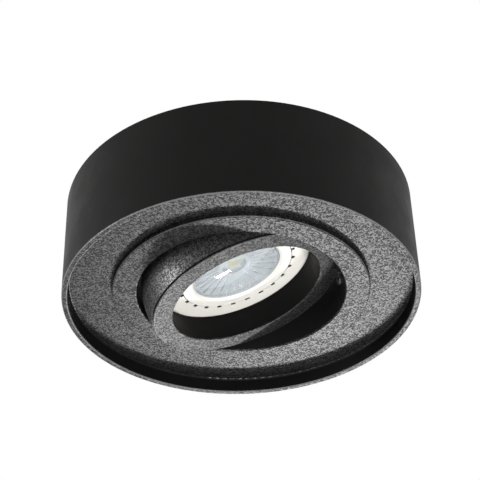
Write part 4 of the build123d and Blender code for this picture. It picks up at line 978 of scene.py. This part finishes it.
@dataclass
class LampHead(Assembly):
    """The tilting ring and the lamp module in it. Heights are behind the tilt axis, in the upright head."""

    lens_front: float = 3.8 * MM
    lens_edge: float = 14.1 * MM
    lens_dome: float = 0.7 * MM
    dome_steps: int = 7
    flange_radius: float = 15.4 * MM
    flange_back: float = 5.0 * MM
    body_radius: float = 13.6 * MM
    lens_back: float = 9.1 * MM
    tail_radius: float = 5.2 * MM
    pocket_radius: float = 3.9 * MM
    pocket_floor: float = 7.3 * MM
    facets: int = 24
    facet_depth: float = 0.075
    body_steps: int = 4
    gland_height: float = 14.0 * MM
    gland_start: float = 18.97 * MM
    gland_seat: float = 22.43 * MM
    gland_end: float = 23.7 * MM
    gland_radius: float = 2.83 * MM
    gland_collar: float = 3.35 * MM
    gland_bore: float = 1.55 * MM
    led_half: float = 2.5 * MM
    led_back: float = 9.7 * MM
    led_front: float = 9.2 * MM
    led_light: float = 2.1 * MM
    led_edge: float = 0.06 * MM
    nodes: tuple = (
        "lamp_ring", "snap_ring", "module_bezel", "lens_holder", "led_board", "thermal_pad",
        "heat_sink", "board_pins", "driver_board", "driver_choke", "driver_capacitor", "driver_chips",
        "live_tail", "neutral_tail", "rear_shell", "module_screws",
    )

    def seat(self, piece: bpy.types.Object) -> bpy.types.Object:
        """Tilts an upright piece with the head and lifts it to the tilt axis."""
        turn_and_lift(piece, (0, -REST_TILT, 0), (0, 0, PIVOT_HEIGHT))
        return piece

    def lens(self) -> bpy.types.Object:
        """Models the lens: shallow dome, flange, faceted collecting body, and the pocket over the LED.

        Returns:
            The piece.
        """
        ball = (self.lens_edge**2 + self.lens_dome**2) / (2 * self.lens_dome)
        crest = self.lens_front - self.lens_dome
        reach = asin(self.lens_edge / ball)
        turns = [reach * step / self.dome_steps for step in range(1, self.dome_steps + 1)]
        dome = [(ball * sin(turn), crest + ball * (1 - cos(turn))) for turn in turns]
        body = []
        for step in range(self.body_steps + 1):
            share = step / self.body_steps
            radius = self.body_radius + (self.tail_radius - self.body_radius) * share**1.25
            body.append((radius, self.flange_back + (self.lens_back - self.flange_back) * share))
        profile = (
            (0, crest), *dome, (self.flange_radius, self.lens_front), (self.flange_radius, self.flange_back),
            *body, (self.pocket_radius, self.lens_back), (self.pocket_radius / 2, self.pocket_floor),
            (0, self.pocket_floor),
        )
        lens = lathe("collimator_lens", profile, self.facets * 4, 22.0)
        bpy.ops.object.mode_set(mode="EDIT")
        spacing = 360 / self.facets

        def in_groove(vertex: bpy.types.MeshVertex) -> bool:
            """True for the body's vertices between two facets."""
            place = vertex.co
            turn = degrees(atan2(place.y, place.x)) % spacing
            away = sqrt(place.x**2 + place.y**2)
            on_body = self.flange_back + 0.1 * MM < place.z < self.lens_back - 0.1 * MM
            return on_body and away > self.tail_radius and min(turn, spacing - turn) < 0.5

        select_where(lens, "VERT", in_groove)
        share = 1 - self.facet_depth
        bpy.ops.transform.resize(value=(share, share, 1), center_override=(0, 0, 0))
        return self.seat(settle_again(lens, "collimator_lens", 22.0))

    def gland(self) -> bpy.types.Object:
        """Models the ribbed rubber gland that points out of the rear shell along Y.

        Returns:
            The piece.
        """
        collar, wall, bore = self.gland_collar, self.gland_radius, self.gland_bore
        start, seat, end = self.gland_start, self.gland_seat, self.gland_end
        ribs = (  # a radius, how far inside it and how far past the seat, both in mm
            (collar, 0.1, 0.0), (collar, 0.0, 0.1), (collar, 0.0, 0.35), (collar, 0.2, 0.5), (wall, 0.2, 0.5),
            (wall, 0.35, 0.65), (wall, 0.1, 0.75), (wall, 0.1, 0.9), (wall, 0.5, 1.0),
        )
        profile = (
            (bore, start), (wall, start), (wall, seat),
            *((radius - inside * MM, seat + past * MM) for radius, inside, past in ribs),
            (wall - 0.4 * MM, end - 0.1 * MM), (wall - 0.5 * MM, end), (bore + 0.15 * MM, end),
            (bore, end - 0.15 * MM), (bore, start),
        )
        gland = lathe("ribbed_gland", profile, SMALL_TURN, 40.0)
        turn_and_lift(gland, (-90, 0, 0), (0, 0, self.gland_height))
        return self.seat(gland)

    def led(self) -> bpy.types.Object:
        """Models the LED: a ceramic package with rounded edges and its low dome of phosphor.

        Returns:
            The piece.
        """
        middle = (self.led_back + self.led_front) / 2
        half = self.led_half
        low, high = (-half, -half, middle), (half, half, self.led_back)
        package = rounded_block("led_package", low, high, self.led_edge, 2)
        dome = lathe("led_dome", (
            (0, self.led_front), (self.led_light * 0.4, self.led_front + 0.02 * MM),
            (self.led_light * 0.75, self.led_front + 0.08 * MM), (self.led_light * 0.94, middle - 0.06 * MM),
            (self.led_light, middle + 0.02 * MM), (0, middle + 0.02 * MM),
        ), SMALL_TURN)
        return self.seat(settle_again(join([package, dome]), "led_package"))

    def build(self) -> None:
        """Dresses the head's pieces and models its lens, gland and LED."""
        super().build()
        self.stand_in(self.lens(), "lamp_head", "lens_clear", "lens")
        self.stand_in(self.gland(), "lamp_head", "gland_rubber", "lead_gland")
        self.stand_in(self.led(), "lamp_head", "led_yellow", "led")


@dataclass
class LampLead(Assembly):
    """The sheathed lead from the lamp module over the neck into the terminal box."""

    radius: float = 1.5 * MM
    sides: int = 20
    exit: Point = (-4.72 * MM, 23.7 * MM, -12.02 * MM)
    end: Point = (10.0 * MM, 41.51 * MM, -14.85 * MM)

    def route(self) -> list[Vector]:
        """The lead's points, from inside the gland to inside the cover.

        Returns:
            The points in metres.
        """
        x, y, z = (value / MM for value in self.exit)
        end_x, end_y, end_z = (value / MM for value in self.end)
        points = (
            (x, y - 3.1, z), (x, y + 2.2, z), (x + 1.8, y + 6.8, z + 2.4), (x + 6.7, y + 10.1, z + 6.0),
            (end_x - 3.7, end_y - 4.4, z + 6.8), (end_x - 1.4, end_y - 1.6, z + 4.6),
            (end_x, end_y, z + 0.9), (end_x, end_y + 0.02, end_z),
        )
        return [Vector(point) * MM for point in points]

    def spline(self, bevel: float) -> bpy.types.Object:
        """The route as a smooth curve object.

        Args:
            bevel: the curve's thickness, 0 for a bare line.

        Returns:
            The curve object.
        """
        curve = bpy.data.curves.new("lead_line", "CURVE")
        curve.dimensions = "3D"
        curve.resolution_u = 12
        curve.bevel_depth = bevel
        curve.bevel_resolution = self.sides // 4
        curve.use_fill_caps = True
        line = curve.splines.new("NURBS")
        points = self.route()
        line.points.add(len(points) - 1)
        for target, point in zip(line.points, points):
            target.co = (*point, 1.0)
        line.order_u = 3
        line.use_endpoint_u = True
        thing = add_object("lead_line", curve)
        bpy.context.view_layer.update()
        return thing

    def build(self) -> None:
        """Models the lead as a tube that bends between the trim and the head."""
        bare = self.spline(0.0)
        path = [vertex.co.copy() for vertex in bpy.data.meshes.new_from_object(bare).vertices]
        round_line = self.spline(self.radius)
        mesh = bpy.data.meshes.new_from_object(round_line)
        for thing in (bare, round_line):
            bpy.data.objects.remove(thing)
        piece = add_object("lamp_lead_sheath", mesh)
        pick(piece)
        settle(piece, "lamp_lead_sheath", 50.0)
        self.paint.dress(piece, "lead_sheath")
        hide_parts("lamp_lead")
        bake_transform(piece)


# ---------- studio
@dataclass(frozen=True)
class Lamp:
    """A soft lamp that faces the rim's centre.

    Azimuth, from +X towards +Y, and elevation, negative below the ceiling, are in degrees. Distance and
    sides are in metres, power in watts.
    """

    name: str
    azimuth: float
    elevation: float
    distance: float
    width: float
    height: float
    power: float


LAMPS = (
    Lamp("key", 71.0, -31.5, 0.9, 0.22, 0.06, 4.6),
    Lamp("left_panel", 176.0, -3.0, 0.9, 0.14, 0.14, 7.0),
    Lamp("front_fill", 288.0, -48.0, 0.7, 0.30, 0.30, 6.8),
    Lamp("strip", 60.0, -22.0, 0.9, 0.05, 0.016, 0.08),  # gives the lens its streak
)


@dataclass
class Studio:
    """The camera at the photograph's place, the lamps, the surroundings and the floor."""

    focal_px: float = 1357.1
    image_px: float = 480.0
    centre_px: tuple[float, float] = (241.648, 303.851)
    distance: float = 0.4169
    elevation: float = 33.907
    turn: float = -12.23
    roll: float = 1.5907
    rim_height: float = -34.0 * MM
    sensor: float = 36.0
    floor_height: float = -0.62
    floor_size: float = 8.0
    floor_glow: float = 0.60
    ambient: float = 0.02

    def add_camera(self) -> None:
        """Adds the camera and makes it the scene's."""
        level = radians(self.elevation)
        place = Vector((0, -cos(level), -sin(level))) * self.distance
        forward = -place.normalized()
        right = Vector((1, 0, 0))
        up = right.cross(forward)
        half = self.image_px / 2
        across = (self.centre_px[0] - half) / self.focal_px
        upward = (half - self.centre_px[1]) / self.focal_px
        aim = Vector((across, upward, 1))
        swing = Vector((0, 0, 1)).rotation_difference(aim.normalized()).to_matrix()
        rows = swing @ Matrix.Rotation(radians(self.roll), 3, "Z") @ Matrix((right, up, forward))
        axes = Matrix((rows[0], rows[1], -rows[2])).transposed()
        spin = Matrix.Rotation(radians(self.turn), 3, "Z")
        camera = add_object("camera", bpy.data.cameras.new("camera"))
        camera.data.sensor_width = self.sensor
        camera.data.lens = self.focal_px * self.sensor / self.image_px
        camera.data.clip_start = 0.01
        camera.matrix_world = (spin @ axes).to_4x4()
        camera.location = spin @ place + Vector((0, 0, self.rim_height))
        bpy.context.scene.camera = camera
        LOG.info("camera at %s", tuple(round(value, 4) for value in camera.location))

    def add_lamp(self, lamp: Lamp) -> None:
        """Adds a lamp.

        Args:
            lamp: its place, size and power.
        """
        data = bpy.data.lights.new(lamp.name, "AREA")
        data.shape = "RECTANGLE"
        data.size = lamp.width
        data.size_y = lamp.height
        data.energy = lamp.power
        thing = add_object(lamp.name, data)
        turn, level = radians(lamp.azimuth), radians(lamp.elevation)
        way = Vector((cos(level) * cos(turn), cos(level) * sin(turn), sin(level)))
        thing.location = way * lamp.distance + Vector((0, 0, self.rim_height))
        thing.rotation_euler = way.to_track_quat("Z", "Y").to_euler()

    @staticmethod
    def seen(graph: Graph) -> bpy.types.NodeSocket:
        """The mask of the rays that look at the surroundings, mirror them or pass through glass to them."""
        path = graph.add("LightPath").outputs
        looked = graph.math("MAXIMUM", path["Is Camera Ray"], path["Is Transmission Ray"])
        return graph.math("MAXIMUM", looked, path["Is Glossy Ray"])

    def add_surroundings(self) -> None:
        """A white surrounding for what looks at it or mirrors it, and a softer one for light."""
        world = bpy.data.worlds.new("surroundings")
        bpy.context.scene.world = world
        world.use_nodes = True
        graph = Graph(world.node_tree)
        strength = graph.span(self.seen(graph), 0.0, 1.0, self.ambient, 1.0)
        graph.feed(world.node_tree.nodes["Background"], {"Color": (1, 1, 1, 1), "Strength": strength})

    def add_floor(self, effects: Effects) -> None:
        """A pale floor far below the object."""
        deselect_all()
        bpy.ops.mesh.primitive_plane_add(size=self.floor_size, location=(0, 0, self.floor_height))
        floor = bpy.context.object
        floor.name = "floor"
        keep_place()
        material, graph, shader = new_material("floor_pale")
        drift = effects.place(graph, Effect.DRIFT, {"Size": 0.4}).outputs["Mask"]
        colour = graph.blend(drift, (0.80, 0.80, 0.80, 1), (0.84, 0.84, 0.84, 1))
        glow = graph.span(self.seen(graph), 0.0, 1.0, 0.0, self.floor_glow)
        graph.feed(shader, {
            "Base Color": colour, "Emission Color": colour, "Emission Strength": glow, "Roughness": 0.8,
        })
        floor.data.materials.append(material)

    def build(self, effects: Effects) -> None:
        """Sets up the whole studio.

        Args:
            effects: the shared effects, for the floor.
        """
        bpy.context.scene.view_settings.view_transform = "Standard"
        self.add_camera()
        for lamp in LAMPS:
            self.add_lamp(lamp)
        self.add_surroundings()
        self.add_floor(effects)


def main() -> None:
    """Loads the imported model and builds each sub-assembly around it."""
    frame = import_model()
    effects = Effects()
    paint = Paintbox(effects)
    Studio().build(effects)
    for assembly in (Housing, Trim, TerminalBox, LampHead, LampLead):
        assembly(frame, paint).build()
        LOG.info("built %s", assembly.__name__)


if __name__ == "__main__":
    main()
